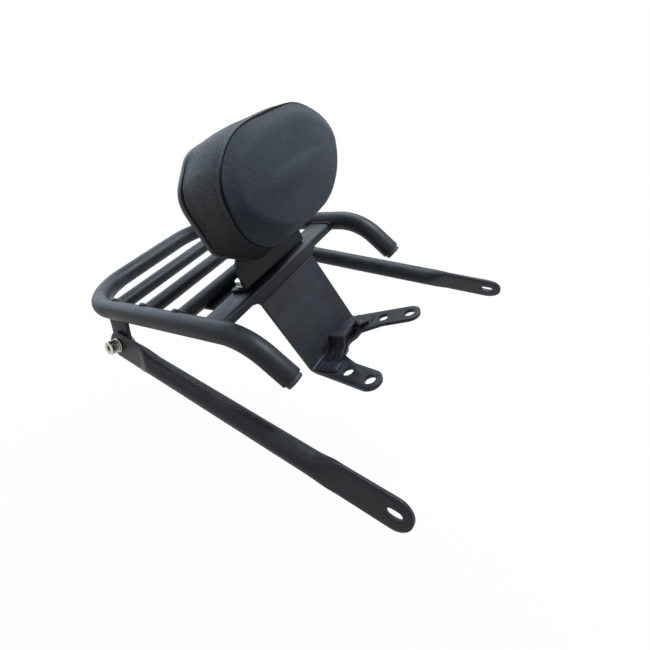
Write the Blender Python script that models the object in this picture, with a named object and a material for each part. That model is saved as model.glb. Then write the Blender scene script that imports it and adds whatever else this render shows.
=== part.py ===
"""Motorbike luggage rack with a padded backrest.

A welded tube rack carries a folded seat bracket, two bolted stay tubes with flattened ends,
and a backrest pad on its own folded bracket. The front of the motorbike lies towards -Y and
the deck of the rack is level. All sizes below are in millimetres.
"""
from math import acos, atan2, ceil, cos, degrees, pi, radians, sin, sqrt

import bmesh
import bpy
from mathutils import Matrix, Vector

MM = 0.001
SEAT_GAP = 0.3                      # paint-thin clearance that welded and seated pieces keep

# Deck of the rack
TUBE_OD = 25.4
TUBE_WALL = 2.0
CROSS_OD = 19.0
SIDE_X = 130.0                      # centreline of each side tube
REAR_Y = 286.0                      # centreline of the rear run
CROSS_PITCH = 65.0
CROSS_COUNT = 3
FIRST_CROSS_Y = 71.0
CORNER_R = 76.0                     # centreline radius of the rear corners
HORN_START_Y = -8.5
HORN_R = 70.0
HORN_ANGLE = 48.0
HORN_STRAIGHT = 32.0
TUBE_SIDES = 20
ARC_STEP = 9.0                      # degrees between stations on a bend

# Plugs in the open tube ends
PLUG_DEPTH = 14.0
PLUG_PROUD = 5.5

# Front cross angle and the stiffener under the front cross tube
ANGLE_TOP_Z = 2.3
ANGLE_FRONT_Y = 1.4
ANGLE_DEPTH = 31.0
ANGLE_THICK = 4.0
ANGLE_END_DROP = 11.0
ANGLE_MID_DROP = 19.0
ANGLE_STEP_X = 72.0
STIFFENER_HALF = 86.0
STIFFENER_WIDTH = 28.0
STIFFENER_THICK = 4.0

# Seat bracket: a plate folded into a forked foot
PLATE_THICK = 5.0
PLATE_HALF = 58.0
PLATE_LEAN = 22.0                   # from the vertical
PLATE_FOLD_Y = -40.0
PLATE_FOLD_Z = -117.0
PLATE_FOLD_R = 9.0
ARM_RISE = 10.0                     # degrees, towards the front
ARM_INNER_HOLE = (54.0, -92.0)
ARM_OUTER_HOLE = (63.5, -127.0)
ARM_HOLE_DIA = 15.0
ARM_HALF_WIDTH = 15.0
CROTCH_Y = -65.0

# Bridge strap welded across the fork
BRIDGE_WIDTH = 25.0
BRIDGE_REAR_Y = -51.0
BRIDGE_THICK = 3.0
BRIDGE_TOP_HALF = 16.0
BRIDGE_HEIGHT = 21.0
BRIDGE_KNEE_X = 21.0
BRIDGE_KNEE_DROP = 10.0
BRIDGE_FOOT_IN = 44.0
BRIDGE_FOOT_OUT = 56.0
BRIDGE_SLOT = (3.0, 10.0)

# Ears and stays
EAR_TILT = 21.0
EAR_Y = 207.0
EAR_INSET = 6.3
EAR_DROP = 50.5
EAR_HALF_WIDTH = 18.5               # of the round lobe
EAR_TOP_HALF = 24.0                 # where it meets the side tube
EAR_WAIST = 0.45                    # place of the narrow part, as a share of the drop
EAR_THICK = 5.0
STAY_OD = 25.4
STAY_LENGTH = 417.5                 # from the clamp bolt to the middle of the front slot
STAY_DIP = 12.8                     # degrees below level, in the plane of the ear
STAY_FLAT_THICK = 5.5
STAY_FLAT_HALF = 18.5
STAY_REAR_FLAT = 46.0
STAY_FRONT_FLAT = 58.0
STAY_TAPER = 34.0
STAY_SLOT_LENGTH = 17.0
BOLT_DIA = 10.0
BOLT_CLEARANCE = 1.0
BOLT_HEAD_DIA = 16.0
BOLT_HEAD_HEIGHT = 10.0
BOLT_SOCKET = 8.0
WASHER_DIA = 20.0
WASHER_THICK = 2.0
NUT_FLATS = 16.0
NUT_HEIGHT = 8.0

# Backrest bracket and pad
REST_LEAN = 8.0
REST_FRONT_Y = 11.0
REST_THICK = 4.0
REST_HALF = 62.5
REST_SIDE_TOP = 30.0
REST_NECK_HALF = 42.0
REST_NECK_START = 52.0
REST_TOP = 134.0
REST_FOLD_R = 5.0
REST_FOOT_DEPTH = 22.0
REST_FOOT_FLARE = 4.5
REST_BOLT_X = REST_HALF - 7.5
REST_BOLT_DIA = 8.0
REST_BOLT_HEAD = 13.0
REST_BOLT_HEIGHT = 6.0
REST_WASHER_DIA = 15.0
REST_NUT_HEIGHT = 6.5
SHELL_DEPTH = 8.0
EDGE_DEPTH = 2.2
EDGE_INSET = 1.8
PAD_DEPTH = 94.0                    # bracket face to the crown of the cushion
SEAM_DEPTH = 78.0
PAD_TOP_HALF = 47.5
PAD_CHIN_IN = 10.5                  # how far the chin corner lies inside the widest place
PAD_CHIN_HALF = 38.0
# Half width, then heights of widest place, top, chin and bottom, at the shell and at the seam
PAD_SHELL = (89.5, 116.0, 155.0, 60.0, 27.5)
PAD_SEAM = (98.0, 124.0, 158.0, 71.0, 50.0)
PAD_SHELL_RADII = (32.0, 32.0, 20.0, 22.0)
PAD_SEAM_RADII = (50.0, 58.0, 38.0, 40.0)
PAD_SCREW_X = 26.0
PAD_SCREW_HEIGHTS = (84.0, 120.0)
PAD_SCREW_DIA = 6.0
PAD_SCREW_HEAD = 11.0
PAD_SCREW_HEAD_HEIGHT = 3.5
PAD_SCREW_REACH = 6.0

# The origin is on the underside of the fork, which seats on the motorbike
SEAT_POINT_Y = -57.0

LEFT, RIGHT = -1, 1
SIDE_NAMES = {LEFT: "left", RIGHT: "right"}


def clear_scene():
    for item in list(bpy.data.objects):
        bpy.data.objects.remove(item, do_unlink=True)


def make_root():
    """Empty that carries the whole rack, so that the seating face is at the world's origin."""
    root = bpy.data.objects.new("rack_root", None)
    bpy.context.scene.collection.objects.link(root)
    under = arm_height(SEAT_POINT_Y) - PLATE_THICK / cos(radians(ARM_RISE))
    root.location = Vector((0, -SEAT_POINT_Y, -under)) * MM
    return root


def make_material(name, color, roughness, metallic=0.0):
    material = bpy.data.materials.new(name)
    material.use_nodes = True
    shader = material.node_tree.nodes["Principled BSDF"]
    shader.inputs["Base Color"].default_value = (*color, 1.0)
    shader.inputs["Roughness"].default_value = roughness
    shader.inputs["Metallic"].default_value = metallic
    return material


def make_materials():
    return {
        "coat": make_material("satin_black_coat", (0.022, 0.024, 0.029), 0.38),
        "steel": make_material("bright_steel", (0.62, 0.62, 0.60), 0.28, 1.0),
        "plastic": make_material("black_plastic", (0.016, 0.017, 0.019), 0.5),
        "rubber": make_material("black_rubber", (0.010, 0.010, 0.011), 0.75),
        "leather": make_material("black_leatherette", (0.021, 0.022, 0.026), 0.55),
    }


def frame(origin, x_axis, y_axis, z_axis):
    """Placement whose columns are the local axes, from an origin in millimetres."""
    rotation = Matrix((x_axis, y_axis, z_axis)).transposed().to_4x4()
    return Matrix.Translation(Vector(origin) * MM) @ rotation


def place_world(x, y, z):
    return Matrix.Translation(Vector((x, y, z)) * MM)


def finish(name, mesh_builder, material, placement=None, parent=None, sharp=35.0):
    """Turn a bmesh drawn in millimetres into a named object in metres."""
    bmesh.ops.recalc_face_normals(mesh_builder, faces=mesh_builder.faces)
    mesh = bpy.data.meshes.new(name)
    mesh_builder.to_mesh(mesh)
    mesh_builder.free()
    mesh.transform(Matrix.Scale(MM, 4))
    mesh.shade_smooth()
    mesh.set_sharp_from_angle(angle=radians(sharp))
    mesh.materials.append(material)
    item = bpy.data.objects.new(name, mesh)
    bpy.context.scene.collection.objects.link(item)
    item.parent = parent or bpy.data.objects["rack_root"]
    if placement is not None:
        item.matrix_basis = placement
    return item


def cut(item, cutter_builder, placement=None, operation="DIFFERENCE"):
    """Cut an object with a guide solid that shares the object's own parent."""
    guide = finish(f"{item.name}_guide", cutter_builder, item.data.materials[0],
                   item.matrix_basis if placement is None else placement, item.parent)
    guide.hide_render = True
    guide.display_type = "WIRE"
    modifier = item.modifiers.new("shape", "BOOLEAN")
    modifier.operation = operation
    modifier.solver = "EXACT"
    modifier.object = guide


def cylinder(radius, z_low, z_high, sides=32, x=0.0, y=0.0):
    builder = bmesh.new()
    add_prism(builder, [(x + radius * cos(2 * pi * k / sides), y + radius * sin(2 * pi * k / sides))
                        for k in range(sides)], z_low, z_high)
    return builder


def add_prism(builder, outline, low, high):
    """Extrude a flat outline between two heights."""
    bottom = [builder.verts.new((x, y, low)) for x, y in outline]
    top = [builder.verts.new((x, y, high)) for x, y in outline]
    count = len(outline)
    builder.faces.new(bottom[::-1])
    builder.faces.new(top)
    for k in range(count):
        follow = (k + 1) % count
        builder.faces.new((bottom[k], bottom[follow], top[follow], top[k]))


def prism(outline, low, high):
    builder = bmesh.new()
    add_prism(builder, outline, low, high)
    return builder


def loft(rings):
    """Skin rings of equal length and cap both ends."""
    builder = bmesh.new()
    rows = [[builder.verts.new(point) for point in ring] for ring in rings]
    for near, far in zip(rows, rows[1:]):
        for k in range(len(near)):
            follow = (k + 1) % len(near)
            builder.faces.new((near[k], near[follow], far[follow], far[k]))
    builder.faces.new(rows[0][::-1])
    builder.faces.new(rows[-1])
    return builder


def revolve(profile, sides=24):
    """Turn (radius, height) points about Z; a zero radius closes the end in a point."""
    builder = bmesh.new()
    rows = []
    for radius, height in profile:
        if radius == 0.0:
            rows.append([builder.verts.new((0.0, 0.0, height))])
        else:
            rows.append([builder.verts.new((radius * cos(2 * pi * k / sides),
                                            radius * sin(2 * pi * k / sides), height))
                         for k in range(sides)])
    closed = profile[0][0] > 0.0
    pairs = list(zip(rows, rows[1:])) + ([(rows[-1], rows[0])] if closed else [])
    for near, far in pairs:
        for k in range(sides):
            follow = (k + 1) % sides
            if len(near) == 1:
                builder.faces.new((near[0], far[follow], far[k]))
            elif len(far) == 1:
                builder.faces.new((near[k], near[follow], far[0]))
            else:
                builder.faces.new((near[k], near[follow], far[follow], far[k]))
    return builder


def rounded_outline(corners, pieces=5):
    """Fillet a closed outline given as (x, y, radius) corners."""
    points = []
    count = len(corners)
    for k, (x, y, radius) in enumerate(corners):
        before = Vector(corners[k - 1][:2])
        after = Vector(corners[(k + 1) % count][:2])
        corner = Vector((x, y))
        if radius <= 0.0:
            points.append(tuple(corner))
            continue
        entry = (before - corner).normalized()
        leave = (after - corner).normalized()
        half = acos(max(-1.0, min(1.0, entry.dot(leave)))) / 2
        reach = min(radius / max(1e-6, sin(half) / cos(half)), 0.49 * (before - corner).length,
                    0.49 * (after - corner).length)
        real = reach * sin(half) / cos(half)
        centre = corner + (entry + leave).normalized() * real / sin(half)
        start = corner + entry * reach - centre
        sweep = start.angle_signed(corner + leave * reach - centre)
        for piece in range(pieces + 1):
            turn = -sweep * piece / pieces
            points.append((centre.x + start.x * cos(turn) - start.y * sin(turn),
                           centre.y + start.x * sin(turn) + start.y * cos(turn)))
    return points


def strip_outline(path, thickness, radius, step=15.0):
    """Outline of a folded strip that follows a path and thickens to the left of it."""
    inner, outer = [], []
    count = len(path)
    for k, point in enumerate(path):
        here = Vector(point)
        if k in (0, count - 1):
            ahead = (Vector(path[1]) - here if k == 0 else here - Vector(path[-2])).normalized()
            normal = Vector((-ahead.y, ahead.x))
            outer.append(tuple(here))
            inner.append(tuple(here + normal * thickness))
            continue
        arrive = (here - Vector(path[k - 1])).normalized()
        leave = (Vector(path[k + 1]) - here).normalized()
        turn = atan2(arrive.cross(leave), arrive.dot(leave))
        side = 1.0 if turn > 0 else -1.0
        bend = radius if turn > 0 else radius - thickness
        bend = max(bend, 0.5)
        reach = bend * abs(sin(turn / 2) / cos(turn / 2))
        centre = here - arrive * reach + Vector((-arrive.y, arrive.x)) * bend * side
        pieces = max(2, ceil(degrees(abs(turn)) / step))
        for piece in range(pieces + 1):
            angle = turn * piece / pieces
            spoke = Vector((arrive.y, -arrive.x)) * side
            spoke = Vector((spoke.x * cos(angle) - spoke.y * sin(angle),
                            spoke.x * sin(angle) + spoke.y * cos(angle)))
            outer.append(tuple(centre + spoke * bend))
            inner.append(tuple(centre + spoke * (bend - side * thickness)))
    return outer + inner[::-1]


# Loop tube

def corner_path(side):
    """Centreline of one rear corner, from the side tube to the rear run."""
    steps = ceil(90 / ARC_STEP)
    turn = [radians(90) * k / steps for k in range(steps + 1)]
    return [Vector((side * (SIDE_X - CORNER_R + CORNER_R * cos(angle)),
                    REAR_Y - CORNER_R + CORNER_R * sin(angle), 0)) for angle in turn]


def rack_path():
    """Centreline of the bent tube, from the left horn round the rear to the right horn."""
    def horn(x):
        points = []
        steps = ceil(HORN_ANGLE / ARC_STEP)
        for k in range(steps + 1):
            angle = radians(HORN_ANGLE) * k / steps
            points.append(Vector((x, HORN_START_Y - HORN_R * sin(angle),
                                  HORN_R * (cos(angle) - 1))))
        lean = radians(HORN_ANGLE)
        points.append(points[-1] + Vector((0, -cos(lean), -sin(lean))) * HORN_STRAIGHT)
        return points

    return horn(-SIDE_X)[::-1] + corner_path(LEFT) + corner_path(RIGHT)[::-1] + horn(SIDE_X)


def path_rings(path, radius, sides=TUBE_SIDES):
    """Rings square to a path, carried along it without twist."""
    rings = []
    normal = Vector((1, 0, 0))
    for k, point in enumerate(path):
        before = path[max(0, k - 1)]
        after = path[min(len(path) - 1, k + 1)]
        tangent = (after - before).normalized()
        if normal.cross(tangent).length < 1e-3:
            normal = Vector((0, 0, 1))
        normal = (normal - tangent * normal.dot(tangent)).normalized()
        across = tangent.cross(normal)
        rings.append([tuple(point + (normal * cos(2 * pi * j / sides)
                                     + across * sin(2 * pi * j / sides)) * radius)
                      for j in range(sides)])
    return rings


def sweep(path, radius_out, radius_in):
    """Hollow tube along a path, open at both ends, as one closed skin."""
    builder = bmesh.new()
    outer = [[builder.verts.new(point) for point in ring] for ring in path_rings(path, radius_out)]
    inner = [[builder.verts.new(point) for point in ring] for ring in path_rings(path, radius_in)]
    for rows in (outer, inner):
        for near, far in zip(rows, rows[1:]):
            for j in range(TUBE_SIDES):
                follow = (j + 1) % TUBE_SIDES
                builder.faces.new((near[j], near[follow], far[follow], far[j]))
    for end in (0, -1):
        for j in range(TUBE_SIDES):
            follow = (j + 1) % TUBE_SIDES
            builder.faces.new((outer[end][j], outer[end][follow], inner[end][follow],
                               inner[end][j]))
    return builder


def side_tube_cutter(side):
    """Solid run of a side tube and its rear corner, which copes what is welded to it."""
    path = [Vector((side * SIDE_X, HORN_START_Y, 0))] + corner_path(side)
    return loft(path_rings(path, TUBE_OD / 2 + SEAT_GAP, 40))


def build_loop_tube(materials):
    finish("rack_loop_tube", sweep(rack_path(), TUBE_OD / 2, TUBE_OD / 2 - TUBE_WALL),
           materials["coat"], place_world(0, 0, 0))


def build_cross_tubes(materials):
    """Bars between the side tubes, each end coped to the round of the tube."""
    radius = CROSS_OD / 2
    names = ("cross_tube_front", "cross_tube_middle", "cross_tube_rear")
    for index in range(CROSS_COUNT):
        y = FIRST_CROSS_Y + CROSS_PITCH * index
        ring = [(radius * cos(2 * pi * k / TUBE_SIDES), radius * sin(2 * pi * k / TUBE_SIDES))
                for k in range(TUBE_SIDES)]
        bar = loft([[(x, a, b) for a, b in ring] for x in (-SIDE_X, SIDE_X)])
        name = names[index] if index < len(names) else f"cross_tube_{index + 1}"
        item = finish(name, bar, materials["coat"], place_world(0, y, 0))
        for side in (LEFT, RIGHT):
            cut(item, side_tube_cutter(side), place_world(0, 0, 0))


def build_end_plugs(materials):
    """Push-in plugs: a grooved stem in the bore and a domed head that stands proud."""
    stem = TUBE_OD / 2 - TUBE_WALL - SEAT_GAP
    lean = radians(HORN_ANGLE)
    profile = [(0.0, -PLUG_DEPTH), (stem - 1.5, -PLUG_DEPTH), (stem, -PLUG_DEPTH + 2.0),
               (stem, -5.0), (stem - 0.8, -4.4), (stem - 0.8, -3.2), (stem, -2.6),
               (stem, PLUG_PROUD - 1.6), (stem - 0.5, PLUG_PROUD - 0.5),
               (stem - 1.6, PLUG_PROUD), (0.0, PLUG_PROUD)]
    end = rack_path()[-1]
    for side in (LEFT, RIGHT):
        out = Vector((0, -cos(lean), -sin(lean)))
        across = Vector((1, 0, 0))
        placement = frame((side * end.x, end.y, end.z), across, out.cross(across), out)
        finish(f"end_plug_{SIDE_NAMES[side]}", revolve(profile, TUBE_SIDES),
               materials["rubber"], placement)


# Front angle, stiffener and seat bracket

def across_deck(profile, half):
    """Extrude a (Y, Z) profile across the rack to both sides."""
    return loft([[(x, y, z) for y, z in profile] for x in (-half, half)])


def build_cross_angle(materials):
    """Folded angle: level top flange, front flange that deepens over the seat bracket."""
    path = [(ANGLE_FRONT_Y + ANGLE_DEPTH, ANGLE_TOP_Z), (ANGLE_FRONT_Y, ANGLE_TOP_Z),
            (ANGLE_FRONT_Y, ANGLE_TOP_Z - ANGLE_MID_DROP)]
    profile = strip_outline(path, ANGLE_THICK, ANGLE_THICK + 1.5)
    item = finish("cross_angle", across_deck(profile, SIDE_X), materials["coat"],
                  place_world(0, 0, 0))
    for side in (LEFT, RIGHT):
        cut(item, side_tube_cutter(side), place_world(0, 0, 0))
        corner = [(ANGLE_STEP_X, ANGLE_TOP_Z - ANGLE_END_DROP),
                  (SIDE_X + 5, ANGLE_TOP_Z - ANGLE_END_DROP),
                  (SIDE_X + 5, ANGLE_TOP_Z - ANGLE_MID_DROP - 5),
                  (PLATE_HALF + 2, ANGLE_TOP_Z - ANGLE_MID_DROP - 5),
                  (PLATE_HALF + 2, ANGLE_TOP_Z - ANGLE_MID_DROP + 3)]
        rings = [[(side * x, y, z) for x, z in corner]
                 for y in (ANGLE_FRONT_Y - 5, ANGLE_FRONT_Y + ANGLE_THICK + 5)]
        cut(item, loft(rings))


def build_stiffener(materials):
    """Flat bar welded under the front cross tube."""
    top = -CROSS_OD / 2 - SEAT_GAP
    low_y = FIRST_CROSS_Y - STIFFENER_WIDTH / 2 - 6
    corners = [(-STIFFENER_HALF, low_y, 4), (STIFFENER_HALF, low_y, 4),
               (STIFFENER_HALF, low_y + STIFFENER_WIDTH, 4),
               (-STIFFENER_HALF, low_y + STIFFENER_WIDTH, 4)]
    finish("deck_stiffener", prism(rounded_outline(corners), -STIFFENER_THICK, 0.0),
           materials["coat"], place_world(0, 0, top))


def arm_direction():
    rise = radians(ARM_RISE)
    return Vector((0, -cos(rise), sin(rise)))


def arm_height(y):
    """Height of the top face of the arms at a place along the rack."""
    return PLATE_FOLD_Z + (PLATE_FOLD_Y - y) * sin(radians(ARM_RISE)) / cos(radians(ARM_RISE))


def fork_outline():
    """Plan of the seat bracket: a straight plate that opens into two round-ended arms."""
    inner = Vector(ARM_INNER_HOLE)
    outer = Vector(ARM_OUTER_HOLE)
    along = (outer - inner).normalized()
    across = Vector((-along.y, along.x))
    if across.x < 0:
        across.negate()
    tip = []
    pieces = 12
    for k in range(pieces + 1):
        angle = pi * k / pieces
        tip.append(outer + across * ARM_HALF_WIDTH * cos(angle)
                   + along * ARM_HALF_WIDTH * sin(angle))
    start = inner - across * ARM_HALF_WIDTH
    crotch = Vector((0.0, CROTCH_Y))
    knee = Vector((25.0, CROTCH_Y - 6.0))
    bay = [start, start * 0.5 + knee * 0.5 + Vector((-0.6, 1.2)), knee,
           knee * 0.5 + crotch * 0.5 + Vector((0.0, -1.6)), crotch + Vector((5.0, -0.4))]
    half = [Vector((PLATE_HALF, 40.0)), Vector((PLATE_HALF, PLATE_FOLD_Y)),
            inner + across * ARM_HALF_WIDTH + Vector((-1.0, 8.0))] + tip + bay
    right = [(point.x, point.y) for point in half]
    return right + [(0.0, CROTCH_Y)] + [(-x, y) for x, y in right[::-1]]


def build_seat_bracket(materials):
    """Sloping plate, fold and fork, cut from one folded sheet."""
    lean = radians(PLATE_LEAN)
    top_z = ANGLE_TOP_Z - ANGLE_MID_DROP - SEAT_GAP
    top_y = PLATE_FOLD_Y + (top_z - PLATE_FOLD_Z) * sin(lean) / cos(lean)
    reach = PLATE_FOLD_Y - ARM_OUTER_HOLE[1] + 2 * ARM_HALF_WIDTH
    fold = Vector((PLATE_FOLD_Y, PLATE_FOLD_Z))
    end = fold + Vector((-cos(radians(ARM_RISE)), sin(radians(ARM_RISE)))) * reach
    path = [(top_y, top_z), (fold.x, fold.y), (end.x, end.y)]
    profile = strip_outline(path, PLATE_THICK, PLATE_FOLD_R)
    profile = [(y, min(z, top_z)) for y, z in profile]
    item = finish("seat_bracket", across_deck(profile, 110.0), materials["coat"],
                  place_world(0, 0, 0))
    cut(item, prism(fork_outline(), PLATE_FOLD_Z - 80, ANGLE_TOP_Z + 40), operation="INTERSECT")
    along = arm_direction()
    right = Vector((1, 0, 0))
    up = right.cross(-along)
    for side in (LEFT, RIGHT):
        for x, y in (ARM_INNER_HOLE, ARM_OUTER_HOLE):
            placement = frame((side * x, y, arm_height(y)), right, -along, up)
            cut(item, cylinder(ARM_HOLE_DIA / 2, -20, 20, 28), placement)


def build_bridge(materials):
    """Strap folded over the crotch of the fork, with a small slot in each leg."""
    rise = radians(ARM_RISE)
    clear = SEAT_GAP
    right_half = [(BRIDGE_TOP_HALF, BRIDGE_HEIGHT), (BRIDGE_KNEE_X, BRIDGE_HEIGHT - BRIDGE_KNEE_DROP),
                  (BRIDGE_FOOT_IN, clear), (BRIDGE_FOOT_OUT, clear)]
    path = [(-x, z) for x, z in right_half[::-1]] + right_half
    outline = strip_outline(path, BRIDGE_THICK, BRIDGE_THICK + 1.0)
    along = arm_direction()
    up = Vector((0, sin(rise), cos(rise)))
    origin_y = BRIDGE_REAR_Y
    placement = frame((0, origin_y, arm_height(origin_y)), Vector((1, 0, 0)), -along, up)
    rings = [[(x, y, z) for x, z in outline] for y in (-BRIDGE_WIDTH, 0.0)]
    item = finish("seat_bridge", loft(rings), materials["coat"], placement)
    slot_x = (BRIDGE_KNEE_X + BRIDGE_FOOT_IN) / 2
    for side in (LEFT, RIGHT):
        width, length = BRIDGE_SLOT
        middle = side * slot_x
        box = [(middle - length / 2, -BRIDGE_WIDTH / 2 - width / 2),
               (middle + length / 2, -BRIDGE_WIDTH / 2 - width / 2),
               (middle + length / 2, -BRIDGE_WIDTH / 2 + width / 2),
               (middle - length / 2, -BRIDGE_WIDTH / 2 + width / 2)]
        cut(item, prism(box, 0.5, BRIDGE_HEIGHT))


# Ears, stays and their clamp bolts

def ear_axes(side):
    """Outward normal of the ear, and the direction down along it."""
    tilt = radians(EAR_TILT)
    outward = Vector((side * cos(tilt), 0, sin(tilt)))
    down = Vector((side * sin(tilt), 0, -cos(tilt)))
    return outward, down


def clamp_frame(side):
    """Frame on the ear's middle plane at the clamp bolt: X to the front, Z outward."""
    outward, down = ear_axes(side)
    origin = Vector((side * SIDE_X, EAR_Y, 0)) - outward * EAR_INSET + down * EAR_DROP
    forward = Vector((0, -1, 0))
    return frame(origin, forward, outward.cross(forward), outward)


def build_ears(materials):
    """Round-ended tabs, coped to the side tube above."""
    for side in (LEFT, RIGHT):
        down = side
        flank = []
        for k in range(6):
            share = k / 5
            spread = (1 - share) ** 2
            flank.append((EAR_HALF_WIDTH + (EAR_TOP_HALF - EAR_HALF_WIDTH) * spread,
                          -down * EAR_DROP * (1 - share * (1 - EAR_WAIST))))
        outline = [(-x, y) for x, y in flank[::-1]] + flank
        for k in range(13):
            angle = pi * k / 12
            outline.append((EAR_HALF_WIDTH * cos(angle), down * EAR_HALF_WIDTH * sin(angle)))
        item = finish(f"stay_ear_{SIDE_NAMES[side]}", prism(outline, -EAR_THICK / 2, EAR_THICK / 2),
                      materials["coat"], clamp_frame(side))
        cut(item, cylinder((BOLT_DIA + BOLT_CLEARANCE) / 2, -EAR_THICK, EAR_THICK, 28))
        cut(item, side_tube_cutter(side), place_world(0, 0, 0))
        above = [(-60, -down * EAR_DROP), (60, -down * EAR_DROP),
                 (60, -down * (EAR_DROP - 3)), (-60, -down * (EAR_DROP - 3))]
        cut(item, prism(above, -EAR_THICK, EAR_THICK))


def stay_section(x):
    """Half width and half thickness of the pinched tube at a place along it."""
    round_half = STAY_OD / 2
    flat_half = STAY_FLAT_HALF
    thin = STAY_FLAT_THICK / 2
    front = STAY_LENGTH - x
    rear_mix = min(1.0, max(0.0, (x - STAY_REAR_FLAT) / STAY_TAPER))
    front_mix = min(1.0, max(0.0, (front - STAY_FRONT_FLAT) / STAY_TAPER))
    mix = min(rear_mix, front_mix)
    mix = mix * mix * (3 - 2 * mix)
    half = flat_half + (round_half - flat_half) * mix
    crease = min(rear_mix, front_mix)
    depth = thin + (round_half - thin) * (0.45 * sin(pi / 2 * crease) + 0.55 * mix)
    power = 2.0 + 4.0 * (1 - mix) ** 2
    if x < 0:
        half = min(half, sqrt(max(0.0, flat_half ** 2 - x ** 2)))
    if front < 0:
        half = min(half, sqrt(max(0.0, flat_half ** 2 - front ** 2)))
    return half, depth, power


def stay_stations():
    """Places along the tube where its section is drawn, closer where it changes."""
    rounds = [-STAY_FLAT_HALF * cos(radians(10 + 16 * k)) for k in range(6)]
    rear = [STAY_REAR_FLAT + STAY_TAPER * k / 5 for k in range(6)]
    front = [STAY_LENGTH - STAY_FRONT_FLAT - STAY_TAPER * (1 - k / 5) for k in range(6)]
    nose = [STAY_LENGTH + STAY_FLAT_HALF * cos(radians(90 - 16 * k)) for k in range(1, 6)]
    return rounds + rear + front + [STAY_LENGTH] + nose


def build_stays(materials):
    """Tubes pinched flat at both ends, hung from the ears by one bolt each."""
    for side in (LEFT, RIGHT):
        pivot = bpy.data.objects.new(f"stay_pivot_{SIDE_NAMES[side]}", None)
        bpy.context.scene.collection.objects.link(pivot)
        pivot.parent = bpy.data.objects["rack_root"]
        lift = EAR_THICK / 2 + SEAT_GAP + STAY_FLAT_THICK / 2
        pivot.matrix_basis = (clamp_frame(side) @ place_world(0, 0, lift)
                              @ Matrix.Rotation(side * radians(STAY_DIP), 4, "Z"))
        rings = []
        for x in stay_stations():
            half, depth, power = stay_section(x)
            ring = []
            for k in range(TUBE_SIDES):
                angle = 2 * pi * (k + 0.5) / TUBE_SIDES
                c, s = cos(angle), sin(angle)
                stretch = (abs(c) ** power + abs(s) ** power) ** (-1 / power)
                ring.append((x, half * c * stretch, depth * s * stretch))
            rings.append(ring)
        item = finish(f"stay_{SIDE_NAMES[side]}", loft(rings), materials["coat"],
                      Matrix.Identity(4), pivot, sharp=40.0)
        hole = (BOLT_DIA + BOLT_CLEARANCE) / 2
        cut(item, cylinder(hole, -20, 20, 28), Matrix.Identity(4))
        half_run = STAY_SLOT_LENGTH / 2 - hole
        slot = []
        for k in range(13):
            angle = -pi / 2 + pi * k / 12
            slot.append((STAY_LENGTH + half_run + hole * cos(angle), hole * sin(angle)))
        for k in range(13):
            angle = pi / 2 + pi * k / 12
            slot.append((STAY_LENGTH - half_run + hole * cos(angle), hole * sin(angle)))
        cut(item, prism(slot, -20, 20), Matrix.Identity(4))


def hexagon(across_flats, turn=0.0):
    radius = across_flats / 2 / cos(pi / 6)
    return [(radius * cos(pi * k / 3 + turn), radius * sin(pi * k / 3 + turn)) for k in range(6)]


def socket_bolt(diameter, head_dia, head_height, length):
    """Socket cap screw with its seat at height zero and its shank below."""
    edge = 0.8
    return revolve([(0.0, -length), (diameter / 2 - edge, -length), (diameter / 2, -length + edge),
                    (diameter / 2, 0.0), (head_dia / 2, 0.0), (head_dia / 2, head_height - edge),
                    (head_dia / 2 - edge, head_height), (0.0, head_height)])


def washer(outer, inner, thick):
    return revolve([(inner / 2, 0.0), (outer / 2, 0.0), (outer / 2, thick), (inner / 2, thick)])


def build_clamp_sets(materials):
    """Cap screw and washer outside each stay, nut behind the ear."""
    for side in (LEFT, RIGHT):
        label = SIDE_NAMES[side]
        base = clamp_frame(side)
        stay_face = EAR_THICK / 2 + SEAT_GAP + STAY_FLAT_THICK
        washer_seat = stay_face + SEAT_GAP
        bolt_seat = washer_seat + WASHER_THICK + SEAT_GAP
        hole = BOLT_DIA + 2 * SEAT_GAP
        finish(f"stay_washer_{label}", washer(WASHER_DIA, hole, WASHER_THICK),
               materials["steel"], base @ place_world(0, 0, washer_seat))
        nut_seat = -EAR_THICK / 2 - SEAT_GAP
        shank = bolt_seat - nut_seat + NUT_HEIGHT + 3.0
        bolt = finish(f"stay_bolt_{label}", socket_bolt(BOLT_DIA, BOLT_HEAD_DIA,
                                                        BOLT_HEAD_HEIGHT, shank),
                      materials["steel"], base @ place_world(0, 0, bolt_seat))
        cut(bolt, prism(hexagon(BOLT_SOCKET), BOLT_HEAD_HEIGHT * 0.45, BOLT_HEAD_HEIGHT + 5))
        nut = finish(f"stay_nut_{label}", prism(hexagon(NUT_FLATS, pi / 6), -NUT_HEIGHT, 0.0),
                     materials["steel"], base @ place_world(0, 0, nut_seat))
        cut(nut, cylinder(hole / 2, -NUT_HEIGHT - 5, 5))


# Backrest

def rest_frame(depth=0.0, height=0.0):
    """Frame on the bracket's front face: X across, Y up the face, Z out of it to the front."""
    lean = radians(REST_LEAN)
    up = Vector((0, sin(lean), cos(lean)))
    out = Vector((0, -cos(lean), sin(lean)))
    origin = Vector((0, REST_FRONT_Y, ANGLE_TOP_Z + SEAT_GAP)) + up * height + out * depth
    return frame(origin, Vector((1, 0, 0)), up, out)


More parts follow.
